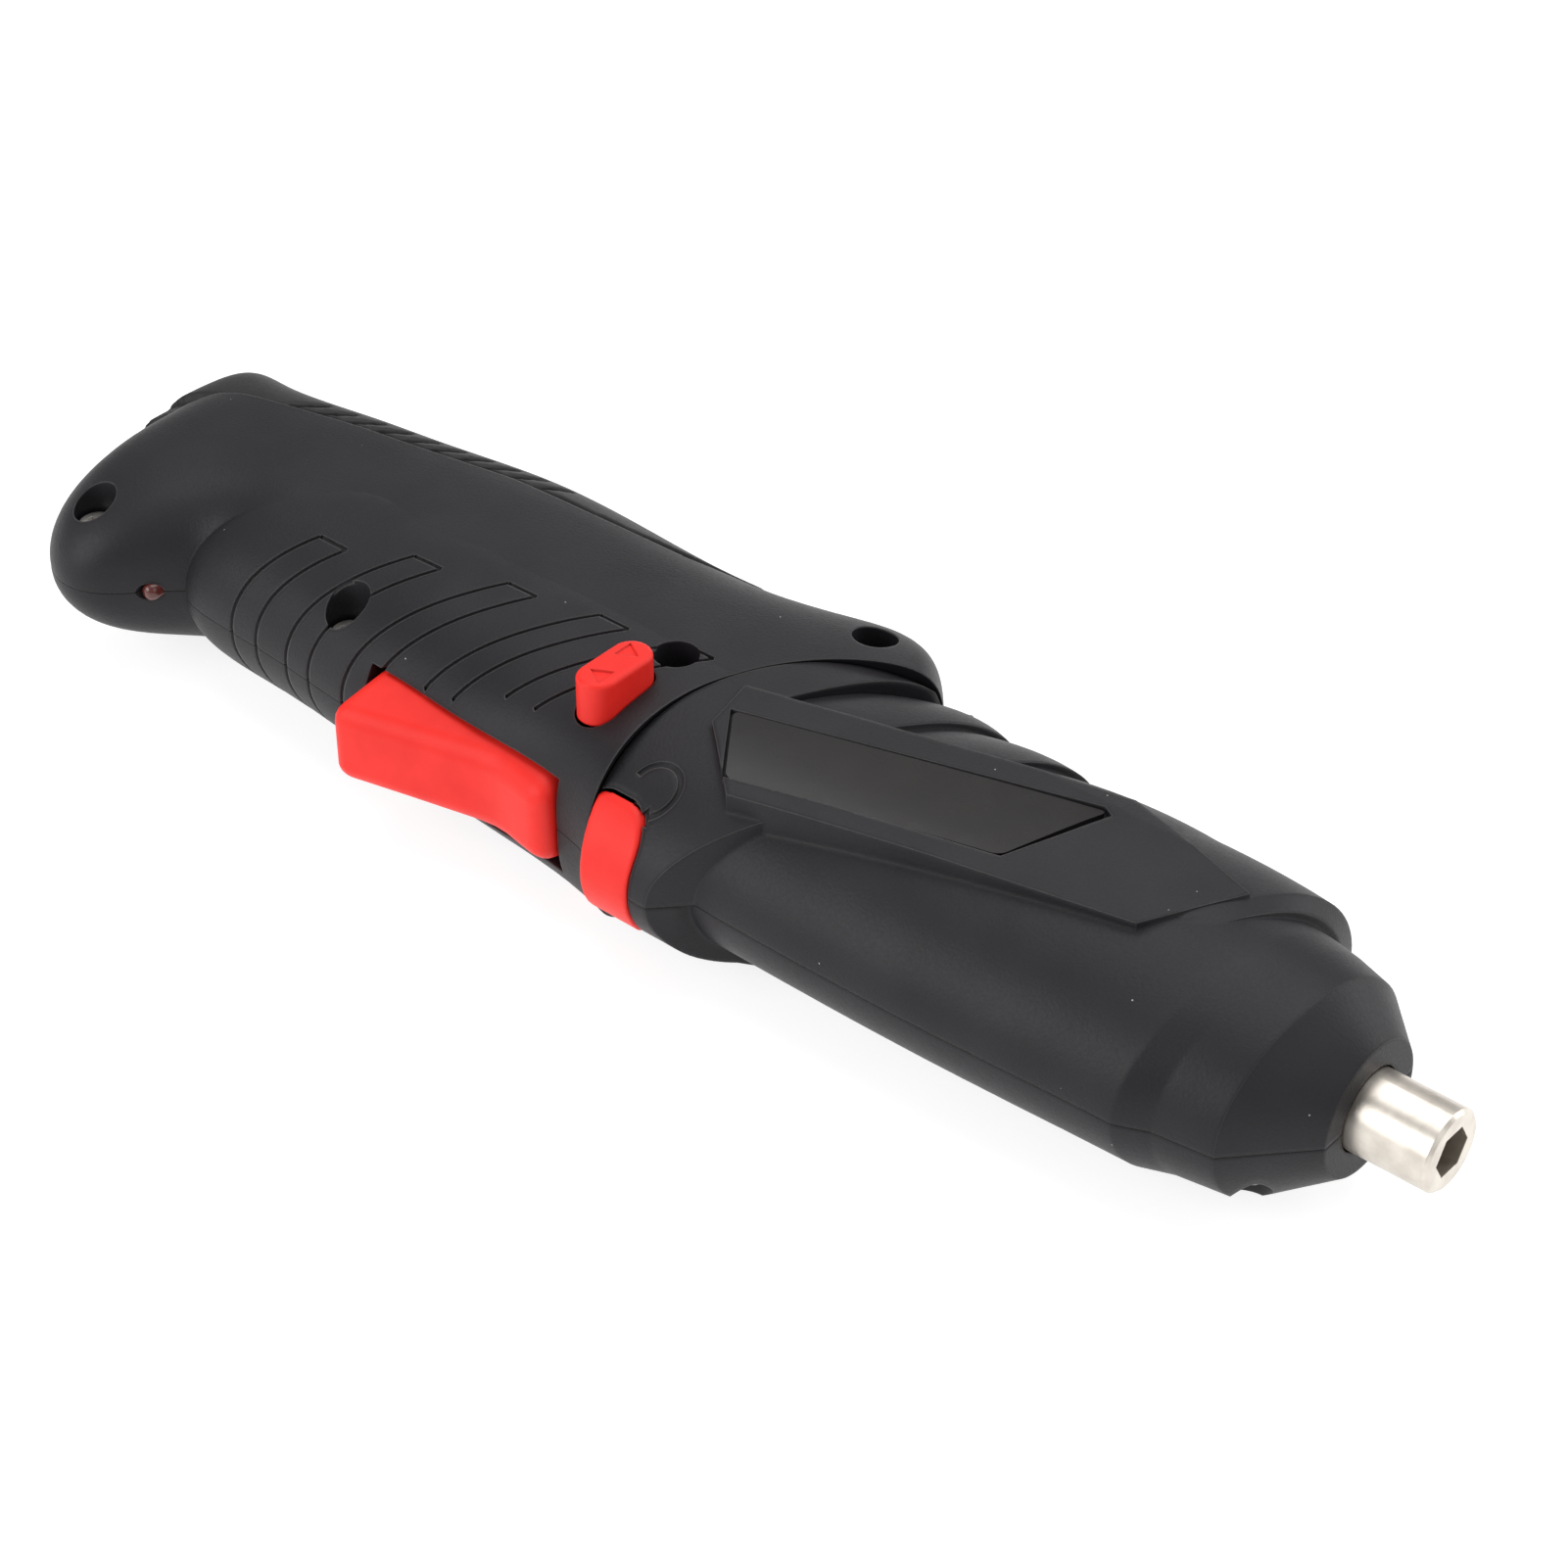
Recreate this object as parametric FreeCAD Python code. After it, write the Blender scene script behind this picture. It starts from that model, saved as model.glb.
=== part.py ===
import FreeCAD, Part
import math
import os

os.makedirs("parts", exist_ok=True)

V = FreeCAD.Vector

# The tool lies on its side. X runs along the spindle towards the bit, -Y is the
# trigger side and Z is square to the parting plane of the shells.
# Everything is drawn from the bit tip on the spindle axis and moved at the end
# so that the origin sits on the lower rest face, straight below the spindle axis.

# Overall sizes, mm
TOOL_LENGTH = 240.0
HALF_WIDTH = 30.0
HALF_DEPTH = 17.5
SHELL_WALL = 2.4
REST_X = -80.0
OVERRUN = 60.0
RUNNING_FIT = 0.05
SLIDE_FIT = 0.3
HINGE_GAP = 0.35

# Rounded sections of the bodies
SECTION_STEPS = 12
GRIP_FRONT_POWER = 2.2
GRIP_BACK_POWER = 4.0
BELLY_POWER = 2.0
RIB_POWER = 2.4
PLATE_POWER = 3.2
HUB_FRONT_POWER = 2.0
HUB_BACK_POWER = 3.0

# Handle stations: distance behind the tip, reach to the trigger side, reach to
# the back, half depth
HANDLE_STATION_SHARES = (
    (1.000, 0.660, 0.580, 0.500),
    (0.9925, 0.840, 0.650, 0.710),
    (0.967, 0.990, 0.700, 0.845),
    (0.933, 0.950, 0.705, 0.880),
    (0.8875, 0.620, 0.770, 0.890),
    (0.833, 0.653, 0.835, 0.897),
    (0.750, 0.733, 0.925, 0.926),
    (0.625, 0.787, 0.877, 0.954),
    (0.5625, 0.817, 0.877, 0.971),
    (0.508, 0.917, 0.977, 0.978),
    (0.467, 0.983, 1.040, 0.980),
    (0.440, 1.000, 0.940, 0.978),
    (0.412, 1.010, 0.680, 0.960),
)
BUTT_SHARE = 0.95
# Finger grip stations: distance behind the tip, lean, reach to the trigger side, half
# depth, squareness
GRIP_STATION_SHARES = (
    (0.835, 0.80, 0.590, 0.860, 2.2),
    (0.817, 0.80, 0.690, 0.908, 2.2),
    (0.783, 0.50, 0.747, 0.922, 2.2),
    (0.742, 0.20, 0.787, 0.931, 2.2),
    (0.688, 0.00, 0.817, 0.949, 2.3),
    (0.604, 0.00, 0.833, 0.972, 2.7),
    (0.550, 0.00, 0.843, 0.980, 3.2),
    (0.508, 0.00, 0.927, 0.983, 3.2),
    (0.458, 0.00, 1.000, 0.985, 3.2),
)
GRIP_BACK_REACH = 10.0

# Back pad of the handle: its edge in plan, as shares of length and width
PAD_EDGE_SHARES = (
    (1.030, -0.20),
    (0.988, 0.14),
    (0.978, 0.265),
    (0.962, 0.318),
    (0.873, 0.486),
    (0.757, 0.637),
    (0.690, 0.655),
    (0.615, 0.690),
    (0.570, 0.790),
    (0.560, 1.200),
    (1.030, 1.200),
)
# Lip of the pad behind the butt, in place of the first handle stations
PAD_TAIL_SHARES = (
    (1.016, 0.300, 0.600, 0.600),
    (1.004, 0.600, 0.720, 0.760),
)
PAD_STEP = 0.8
PAD_PROUD = 1.2
PAD_THICKNESS = 1.8
PAD_NOTCH_COUNT = 10
PAD_NOTCH_WIDTH = 1.0
PAD_NOTCH_LENGTH = 7.0
PAD_NOTCH_DEPTH = 1.2
PAD_NOTCH_START = 222.0
PAD_NOTCH_PITCH = 5.0
PAD_NOTCH_ANGLE = 50.0
PAD_NOTCH_OFFSET = 2.8

# Engraved grip lines: upper ends in plan, as shares of length and width
LINE_END_SHARES = (
    (0.804, -0.345),
    (0.739, -0.208),
    (0.672, -0.100),
    (0.606, -0.022),
    (0.548, 0.060),
)
LINE_PAIR_PITCH = 5.6
LINE_WIDTH = 0.7
LINE_DEPTH = 0.5
LINE_LENGTH = 26.0
LINE_ANGLE = 236.0

# Hinge between handle and barrel
PIVOT_X = -89.5
PIVOT_Y = -12.0
HUB_RADIUS = 37.4
HUB_SHOULDER_RADIUS = 36.4
HUB_RIM_RADIUS = 33.2
HUB_RIM_HEIGHT = 18.5
PIVOT_PIN_RADIUS = 3.0
PIVOT_PIN_HALF_LENGTH = 13.6
PIVOT_BOSS_RADIUS = 5.6
EYE_RADIUS = 8.0
ARM_HALF_WIDTH = 5.5
ARM_HALF_DEPTH = 5.0
ARM_ANGLE = 112.0
ARM_REACH = 41.0
FOLD_ANGLE = 70.0
FOLD_SPARE_ANGLE = 12.0
PIVOT_SIDE_GAP = 0.4

# Hub end of the barrel
HUB_HALF_DEPTH = 17.3
HUB_FRONT_REACH = 30.5
HUB_BACK_REACH = 24.5
HUB_PLAN_SHARES = (
    (0.5420, -1.10),
    (0.4690, -1.10),
    (0.4080, -0.583),
    (0.4080, -0.10),
    (0.4750, -0.10),
    (0.3955, 1.17),
    (0.5420, 1.17),
)

# Plan of the hub on the lower side, which stops short of the belly
LOWER_HUB_PLAN_SHARES = (
    (0.5420, -1.10),
    (0.4690, -1.10),
    (0.4470, -0.915),
    (0.4330, -0.62),
    (0.4130, -0.45),
    (0.4080, -0.40),
    (0.3955, 1.17),
    (0.5420, 1.17),
)

# Engraved turning mark on the hub
MARK_X = -116.2
MARK_Y = -21.4
MARK_RADIUS = 3.6
MARK_WIDTH = 0.9
MARK_DEPTH = 0.4
MARK_END_ANGLE = -62.0
MARK_SWEEP_ANGLE = 232.0
MARK_HEAD = 2.2

# Barrel belly: distance behind the tip, lean, front reach, back reach, half depth
BELLY_STATION_SHARES = (
    (0.417, 0.35, 0.850, 0.690, 0.965),
    (0.354, 0.10, 0.857, 0.693, 0.965),
    (0.250, 0.05, 0.837, 0.690, 0.968),
    (0.175, 0.15, 0.810, 0.655, 0.960),
    (0.130, 0.20, 0.797, 0.610, 0.950),
)
BAND_STATION_SHARES = (
    (0.130, 0.20, 0.797, 0.610, 0.950),
    (0.1117, 0.20, 0.727, 0.580, 0.925),
    (0.0842, 0.10, 0.687, 0.527, 0.880),
)
# Back ribs of the barrel: each is a chain of distance, lean, back reach, half depth
RIB_STATION_SHARES = (
    ((0.467, 0.50, 0.755, 0.935), (0.431, 0.50, 0.845, 0.985), (0.4146, 0.50, 0.812, 0.980)),
    ((0.4146, 0.50, 0.755, 0.935), (0.375, 0.48, 0.823, 0.985), (0.3542, 0.45, 0.815, 0.980)),
    ((0.3542, 0.45, 0.755, 0.935), (0.300, 0.45, 0.827, 0.986), (0.258, 0.50, 0.820, 0.987)),
    ((0.258, 0.50, 0.820, 0.987), (0.210, 0.48, 0.812, 0.986), (0.171, 0.42, 0.780, 0.985)),
    ((0.171, 0.42, 0.780, 0.985), (0.158, 0.42, 0.640, 0.950)),
)
RIB_FRONT_REACH = 6.0
PLATE_PLAN_SHARES = (
    (0.4360, -0.660),
    (0.1900, -0.233),
    (0.1580, 0.250),
    (0.2563, 0.483),
    (0.4917, -0.017),
    (0.4830, -0.330),
)
LOWER_PLATE_PLAN_SHARES = (
    (0.4100, -0.330),
    (0.1900, -0.060),
    (0.1580, 0.250),
    (0.2563, 0.483),
    (0.4700, 0.030),
)
PLATE_FRONT_REACH = 30.0
PLATE_BACK_REACH = 25.0
PLATE_CROWN = 0.4

# Nose
NOSE_FACE_X = -12.5
NOSE_FACE_RADIUS = 10.0
NOSE_HOLE_RADIUS = 6.3

# Label window on the upper plate
LABEL_PLAN_SHARES = (
    (0.4830, -0.200),
    (0.2640, 0.335),
    (0.2560, 0.300),
    (0.2810, -0.250),
    (0.4470, -0.590),
)
LABEL_RECESS = 0.45
LABEL_THICKNESS = 0.7

# Drive train along the spindle axis
MODULE = 0.45
PRESSURE_ANGLE = 25.0
SUN_TEETH = 12
PLANET_TEETH = 18
RING_TEETH = 48
PLANET_COUNT = 3
ADDENDUM_SHARE = 0.8
DEDENDUM_SHARE = 1.15
BACKLASH = 0.06
MOTOR_RADIUS = 12.2
MOTOR_REAR_X = -79.0
MOTOR_FRONT_X = -49.5
MOTOR_WALL = 0.8
MOTOR_CAP_LENGTH = 4.0
MOTOR_BOSS_RADIUS = 4.0
MOTOR_BOSS_LENGTH = 1.4
MAGNET_WALL = 2.0
ROTOR_GAP = 0.4
MAGNET_ARC_ANGLE = 140.0
SHAFT_RADIUS = 1.15
CASE_RADIUS = 13.0
CASE_FRONT_X = -27.6
CASE_END_WALL = 2.4
FIRST_STAGE_X = -47.6
SECOND_STAGE_X = -38.6
GEAR_LENGTH = 5.2
CARRIER_THICKNESS = 2.6
CARRIER_RADIUS = 9.4
GEAR_SIDE_GAP = 0.4
PLANET_PIN_RADIUS = 1.0
SPINDLE_RADIUS = 4.0

# Bit holder
HOLDER_RADIUS = 6.0
HOLDER_REAR_X = -27.0
HOLDER_CHAMFER = 0.5
HEX_FLATS = 6.35
HEX_DEPTH = 13.0
MAGNET_RADIUS = 2.6
MAGNET_LENGTH = 3.0
BUSH_RADIUS = 8.5
BUSH_REAR_X = -24.0
BUSH_FRONT_X = -14.5
CLIP_RADIUS = 7.4
CLIP_THICKNESS = 0.8
CLIP_GROOVE_DEPTH = 0.6

# Battery and electrics in the handle
CELL_RADIUS = 9.2
CELL_LENGTH = 65.0
CELL_REAR_X = -214.0
CELL_Y = 8.0
CELL_NUB_RADIUS = 2.8
CELL_NUB_LENGTH = 0.8
TAB_THICKNESS = 0.5
TAB_WIDTH = 8.0
TAB_HEIGHT = 12.0
BOARD_THICKNESS = 1.2
BOARD_REAR_REACH = 11.5
BOARD_FRONT_REACH = 2.0
BOARD_HEIGHT = 9.0
LED_RADIUS = 1.5
LED_X = -218.3
LED_FACE_Y = -22.4
LED_LENGTH = 5.2
LED_FLANGE_RADIUS = 1.9
LED_FLANGE_LENGTH = 0.8
JACK_X = -232.5
JACK_Y = 9.0
JACK_RADIUS = 4.2
JACK_BORE_RADIUS = 2.75
JACK_LENGTH = 9.0
JACK_PIN_RADIUS = 0.9
SWITCH_X = -164.0
SWITCH_LENGTH = 28.0
SWITCH_FRONT_Y = -10.0
SWITCH_DEPTH = 8.4
SWITCH_HALF_HEIGHT = 8.0

# Trigger
TRIGGER_REAR_X = -170.5
TRIGGER_FRONT_X = -131.6
TRIGGER_TAIL_Y = -32.0
TRIGGER_KNEE_X = -143.5
TRIGGER_KNEE_Y = -25.7
TRIGGER_HEAD_Y = -25.0
TRIGGER_BACK_Y = -14.0
TRIGGER_HALF_HEIGHT = 8.0
TRIGGER_FACE_HALF_HEIGHT = 6.6
TRIGGER_SHOULDER_Y = -21.5
TRIGGER_ROUND = 2.2
TRIGGER_FLANGE = 1.4
TRIGGER_FLANGE_HALF_HEIGHT = 9.0
PLUNGER_X = -150.0
PLUNGER_RADIUS = 1.8
PLUNGER_FRONT_Y = -21.0
PLUNGER_END_Y = -8.5
PLUNGER_TRAVEL = 4.5
SPRING_BORE_RADIUS = 3.4
SPRING_RADIUS = 2.7
SPRING_WIRE_RADIUS = 0.3
TRIGGER_SPRING_TURNS = 5
LOCK_SPRING_TURNS = 5
SPRING_STEPS_PER_TURN = 12

# Direction selector
SELECTOR_X = -131.5
SELECTOR_Y = -12.6
SELECTOR_LENGTH = 13.0
SELECTOR_WIDTH = 6.2
SELECTOR_TOP = 21.6
SELECTOR_BOTTOM = -16.6
SELECTOR_HEAD_BOTTOM = 14.8
SELECTOR_FOOT_TOP = -11.0
SELECTOR_NECK_LENGTH = 8.0
SELECTOR_NECK_WIDTH = 2.6
SELECTOR_ROUND = 0.7
ARROW_LENGTH = 3.4
ARROW_WIDTH = 3.0
ARROW_DEPTH = 0.3

# Lock button
LOCK_LEFT_X = -126.0
LOCK_RIGHT_X = -113.6
LOCK_BACK_Y = -24.0
LOCK_ROOM_Y = -19.5
LOCK_HALF_HEIGHT = 10.6
LOCK_CORNER = 5.0
LOCK_TRAVEL = 2.5
LOCK_COLLAR_THICKNESS = 1.4
LOCK_COLLAR_Y = -26.2
LOCK_COLLAR_RIGHT_X = -110.8
LOCK_COLLAR_HALF_HEIGHT = 4.0
LOCK_SPRING_X = -117.0
LOCK_SPRING_Z = 8.4
LOCK_SPRING_END_Y = -16.5
LOCK_SEAT_THICKNESS = 2.0
LOCK_SEAT_WIDTH = 9.0
LOCK_SPRING_RADIUS = 1.9

# Screws: plan places as shares of length and width
HANDLE_SCREW_SHARES = ((0.960, -0.733), (0.752, -0.570), (0.5440, -0.030), (0.4715, 0.735))
BARREL_SCREW_SHARES = ((0.0895, -0.433), (0.0895, 0.433), (0.300, -0.610), (0.300, 0.555))
SCREW_HEAD_RADIUS = 2.8
SCREW_HEAD_HEIGHT = 1.9
SCREW_SHANK_RADIUS = 1.4
SCREW_LENGTH = 12.0
SCREW_SLOT_WIDTH = 0.8
SCREW_SLOT_LENGTH = 3.6
SCREW_SLOT_DEPTH = 1.1
SCREW_SEAT_Z = 5.0
RECESS_RADIUS = 3.4
BOSS_RADIUS = 4.4
BARREL_BOSS_RADIUS = 4.0

# Inner ribs of the shells
RIB_THICKNESS = 2.0
CELL_RIB_X = (-208.0, -182.0, -156.0)
SWITCH_RIB_SHARES = (0.2, 0.8)
MOTOR_RIB_X = (-74.0, -56.0)
CASE_RIB_X = (-46.0, -34.0)


def along(share):
    """X of a share of the tool's length behind the bit tip."""
    return -share * TOOL_LENGTH


def across(share):
    """Y of a share of the half width."""
    return share * HALF_WIDTH


def plan_points(shares):
    return [V(along(a), across(b), 0) for a, b in shares]


def prism(points, bottom, top):
    """Straight solid over a closed outline in plan."""
    ring = [V(p.x, p.y, bottom) for p in points]
    face = Part.Face(Part.makePolygon(ring + ring[:1]))
    return face.extrude(V(0, 0, top - bottom))


def box(x0, x1, y0, y1, z0, z1):
    return Part.makeBox(x1 - x0, y1 - y0, z1 - z0, V(x0, y0, z0))


def rod_x(x0, x1, radius, y=0, z=0):
    return Part.makeCylinder(radius, x1 - x0, V(x0, y, z), V(1, 0, 0))


def rod_y(y0, y1, radius, x, z=0):
    return Part.makeCylinder(radius, y1 - y0, V(x, y0, z), V(0, 1, 0))


def rod_z(z0, z1, radius, x, y):
    return Part.makeCylinder(radius, z1 - z0, V(x, y, z0), V(0, 0, 1))


def lower(shape):
    """The same shape mirrored to the hidden side of the parting plane."""
    return shape.mirror(V(0, 0, 0), V(0, 0, 1))


def both(shape):
    return shape.fuse(lower(shape)).removeSplitter()


def half_section(x, lean, front, back, half, front_power, back_power):
    """Upper half of a rounded cross section, closed along the parting plane."""
    points = []
    for i in range(SECTION_STEPS + 1):
        turn = math.pi * i / SECTION_STEPS
        side = math.cos(turn)
        rise = abs(math.sin(turn)) if 0 < i < SECTION_STEPS else 0
        reach = back if side > 0 else -front
        power = back_power if side > 0 else front_power
        y = reach * abs(side) ** (2 / power)
        points.append(V(x + lean * y, y, half * rise ** (2 / power)))
    curve = Part.BSplineCurve()
    curve.interpolate(points)
    return Part.Wire([curve.toShape(), Part.makeLine(points[-1], points[0])])


def loft(sections, ruled=False):
    return Part.makeLoft(sections, True, ruled)


def dome(grow):
    """Round hub form about the hinge axis, upper half."""
    rim = V(HUB_RIM_RADIUS + grow, 0, HUB_RIM_HEIGHT)
    shoulder = V(HUB_SHOULDER_RADIUS + grow, 0, HUB_RIM_HEIGHT / 2)
    foot = V(HUB_RADIUS + grow, 0, 0)
    side = Part.Arc(foot, shoulder, rim).toShape()
    axis_top = V(0, 0, HUB_RIM_HEIGHT)
    lines = [Part.makeLine(rim, axis_top), Part.makeLine(axis_top, V(0, 0, 0)), Part.makeLine(V(0, 0, 0), foot)]
    face = Part.Face(Part.Wire([side] + lines))
    solid = face.revolve(V(0, 0, 0), V(0, 0, 1), 360)
    solid.translate(V(PIVOT_X, PIVOT_Y, 0))
    return solid


def obround(x, y, length, width, bottom, top):
    """Upright bar with round ends, long side across the tool."""
    straight = (length - width) / 2
    bar = box(x - width / 2, x + width / 2, y - straight, y + straight, bottom, top)
    ends = [rod_z(bottom, top, width / 2, x, y + s * straight) for s in (-1, 1)]
    return bar.fuse(ends).removeSplitter()


def screw(x, y, seat):
    """Cross-head self-tapping screw, head up, seated at the given height."""
    body = rod_z(seat, seat + SCREW_HEAD_HEIGHT, SCREW_HEAD_RADIUS, x, y)
    body = body.fuse(rod_z(seat - SCREW_LENGTH, seat, SCREW_SHANK_RADIUS, x, y))
    top = seat + SCREW_HEAD_HEIGHT
    long_half = SCREW_SLOT_LENGTH / 2
    short_half = SCREW_SLOT_WIDTH / 2
    floor = top - SCREW_SLOT_DEPTH
    slot = box(x - long_half, x + long_half, y - short_half, y + short_half, floor, top)
    cross = box(x - short_half, x + short_half, y - long_half, y + long_half, floor, top)
    return body.cut(slot.fuse(cross))


def screw_places(shares):
    return [(along(a), across(b)) for a, b in shares]


# Handle

def handle_section(row, inset, back_inset):
    x, front, back, half = row
    shift = inset if x > BUTT_SHARE else 0
    return half_section(along(x) + shift, 0, across(front) - inset, across(back) - back_inset,
                        half * HALF_DEPTH - inset, GRIP_FRONT_POWER, GRIP_BACK_POWER)


def handle_stations(inset, back_inset):
    return [handle_section(row, inset, back_inset) for row in HANDLE_STATION_SHARES]


def grip_stations(inset):
    sections = []
    for x, lean, front, half, power in GRIP_STATION_SHARES:
        sections.append(half_section(along(x), lean, across(front) - inset, GRIP_BACK_REACH,
                                     half * HALF_DEPTH - inset, power, GRIP_FRONT_POWER))
    return sections


def pad_zone():
    return prism(plan_points(PAD_EDGE_SHARES), -OVERRUN, OVERRUN)


def handle_room(wall):
    """Space inside the handle at a depth below the skin, deeper under the pad."""
    back_wall = PAD_STEP + PAD_THICKNESS + wall
    under_pad = loft(handle_stations(PAD_THICKNESS + wall, back_wall)).common(pad_zone())
    return loft(handle_stations(wall, back_wall)).cut(pad_zone()).fuse(under_pad)


def grip_lines():
    """Pairs of slanting engraved lines over the finger grip, cut only skin deep."""
    bars = []
    for x_share, y_share in LINE_END_SHARES:
        for k in range(2):
            start = V(along(x_share) + k * LINE_PAIR_PITCH, across(y_share), 0)
            bar = box(0, LINE_LENGTH, -LINE_WIDTH / 2, LINE_WIDTH / 2, 0, OVERRUN)
            bar.rotate(V(0, 0, 0), V(0, 0, 1), LINE_ANGLE)
            bar.translate(start)
            bars.append(bar)
        joint = box(0, LINE_PAIR_PITCH, -LINE_WIDTH / 2, LINE_WIDTH / 2, 0, OVERRUN)
        joint.translate(V(along(x_share), across(y_share), 0))
        bars.append(joint)
    return bars[0].fuse(bars[1:]).cut(loft(grip_stations(LINE_DEPTH)))


def trigger_slot():
    grow = SLIDE_FIT
    return box(TRIGGER_REAR_X - grow, TRIGGER_FRONT_X + grow, -OVERRUN, TRIGGER_BACK_Y,
               -TRIGGER_HALF_HEIGHT - grow, TRIGGER_HALF_HEIGHT + grow)


def handle_half():
    """Upper half of the handle without the holes that only one side has."""
    core = loft(handle_stations(0, 0))
    outer = core.fuse(loft(grip_stations(0)))
    pad_bed = loft(handle_stations(PAD_THICKNESS, PAD_THICKNESS + PAD_STEP))
    outer = outer.cut(pad_zone()).fuse(pad_bed.common(pad_zone()))
    outer = outer.cut(grip_lines())
    cavity = handle_room(SHELL_WALL).cut(dome(HINGE_GAP + SHELL_WALL))
    ribs = []
    for x in CELL_RIB_X:
        ribs.append(box(x, x + RIB_THICKNESS, SWITCH_FRONT_Y + SWITCH_DEPTH, HALF_WIDTH, 0, HALF_DEPTH))
    for share in SWITCH_RIB_SHARES:
        x = SWITCH_X + share * SWITCH_LENGTH
        ribs.append(box(x, x + RIB_THICKNESS, SWITCH_FRONT_Y, SWITCH_FRONT_Y + SWITCH_DEPTH,
                        SWITCH_HALF_HEIGHT, HALF_DEPTH))
    for x, y in screw_places(HANDLE_SCREW_SHARES):
        ribs.append(rod_z(0, HALF_DEPTH, BOSS_RADIUS, x, y))
    inside = ribs[0].fuse(ribs[1:]).common(handle_room(SHELL_WALL / 2))
    inside = inside.cut(rod_x(CELL_REAR_X - OVERRUN, CELL_REAR_X + CELL_LENGTH + OVERRUN, CELL_RADIUS, CELL_Y))
    half = outer.cut(cavity).fuse(inside)
    half = half.cut(dome(HINGE_GAP))
    return half.fuse(hinge_arm())


def hinge_arm():
    """Half of the handle's tongue that holds the pivot pin."""
    arm = box(0, ARM_REACH, -ARM_HALF_WIDTH, ARM_HALF_WIDTH, 0, ARM_HALF_DEPTH)
    arm.rotate(V(0, 0, 0), V(0, 0, 1), ARM_ANGLE)
    arm.translate(V(PIVOT_X, PIVOT_Y, 0))
    eye = rod_z(0, ARM_HALF_DEPTH, EYE_RADIUS, PIVOT_X, PIVOT_Y)
    pin_hole = rod_z(0, ARM_HALF_DEPTH, PIVOT_PIN_RADIUS + RUNNING_FIT, PIVOT_X, PIVOT_Y)
    return arm.fuse(eye).cut(pin_hole)


def handle_holes():
    """Openings that pass through both handle shells."""
    selector = obround(SELECTOR_X, SELECTOR_Y, SELECTOR_LENGTH + 2 * SLIDE_FIT,
                       SELECTOR_WIDTH + 2 * SLIDE_FIT, -OVERRUN, OVERRUN)
    led = rod_y(-OVERRUN, LED_FACE_Y + LED_LENGTH, LED_RADIUS, LED_X)
    flange = rod_y(LED_FACE_Y + LED_LENGTH - LED_FLANGE_LENGTH, LED_FACE_Y + LED_LENGTH, LED_FLANGE_RADIUS, LED_X)
    jack = rod_y(JACK_Y, OVERRUN, JACK_RADIUS, JACK_X)
    return [trigger_slot(), selector, led, flange, jack]


def handle_shells():
    upper_half = handle_half()
    lower_half = lower(upper_half)
    for hole in handle_holes():
        upper_half = upper_half.cut(hole)
        lower_half = lower_half.cut(hole)
    for x, y in screw_places(HANDLE_SCREW_SHARES):
        upper_half = upper_half.cut(rod_z(SCREW_SEAT_Z, OVERRUN, RECESS_RADIUS, x, y))
        shank = rod_z(SCREW_SEAT_Z - SCREW_LENGTH, SCREW_SEAT_Z, SCREW_SHANK_RADIUS, x, y)
        upper_half = upper_half.cut(shank)
        lower_half = lower_half.cut(shank)
    return upper_half, lower_half


def back_pad():
    """Soft pad let into the back of the handle, with slanting notches."""
    rows = PAD_TAIL_SHARES + HANDLE_STATION_SHARES[2:]
    pad = loft([handle_section(row, PAD_STEP, -PAD_PROUD) for row in rows]).common(pad_zone())
    pad = pad.cut(loft(handle_stations(PAD_THICKNESS, PAD_THICKNESS + PAD_STEP)))
    pad = both(pad)
    notches = []
    for i in range(PAD_NOTCH_COUNT):
        notch = box(-PAD_NOTCH_LENGTH / 2, PAD_NOTCH_LENGTH / 2, -PAD_NOTCH_WIDTH / 2, PAD_NOTCH_WIDTH / 2,
                    0, OVERRUN)
        notch.rotate(V(0, 0, 0), V(0, 0, 1), PAD_NOTCH_ANGLE)
        x = i * PAD_NOTCH_PITCH - PAD_NOTCH_START
        notch.translate(V(x, pad_edge_y(x) + PAD_NOTCH_OFFSET, 0))
        notches.append(notch)
    floor = loft(handle_stations(PAD_STEP + PAD_NOTCH_DEPTH, PAD_NOTCH_DEPTH - PAD_PROUD))
    notches = notches[0].fuse(notches[1:]).cut(floor)
    pad = pad.cut(notches).cut(lower(notches))
    return pad.cut(rod_y(JACK_Y, OVERRUN, JACK_RADIUS, JACK_X))


def pad_edge_y(x):
    """Where the edge of the pad lies at a distance along the tool."""
    for start, end in zip(PAD_EDGE_SHARES, PAD_EDGE_SHARES[1:]):
        if along(start[0]) <= x <= along(end[0]):
            part = (x - along(start[0])) / (along(end[0]) - along(start[0]))
            return across(start[1]) + part * (across(end[1]) - across(start[1]))
    return 0


# Barrel

def barrel_section(row, inset, power):
    x, lean, front, back, half = row
    return half_section(along(x), lean, across(front) - inset, across(back) - inset,
                        half * HALF_DEPTH - inset, power, power)


def hub_half(inset):
    """Upper half of the round end that sits in the handle's cup."""
    ends = []
    for share in (HUB_PLAN_SHARES[0][0], HUB_PLAN_SHARES[2][0]):
        ends.append(half_section(along(share), 0, HUB_FRONT_REACH - inset, HUB_BACK_REACH - inset,
                                 HUB_HALF_DEPTH - inset, HUB_FRONT_POWER, HUB_BACK_POWER))
    plan = prism(plan_points(HUB_PLAN_SHARES), -OVERRUN, OVERRUN)
    if inset:
        plan.translate(V(-2 * inset, inset, 0))
    return loft(ends).common(dome(-inset)).common(plan)


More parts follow.
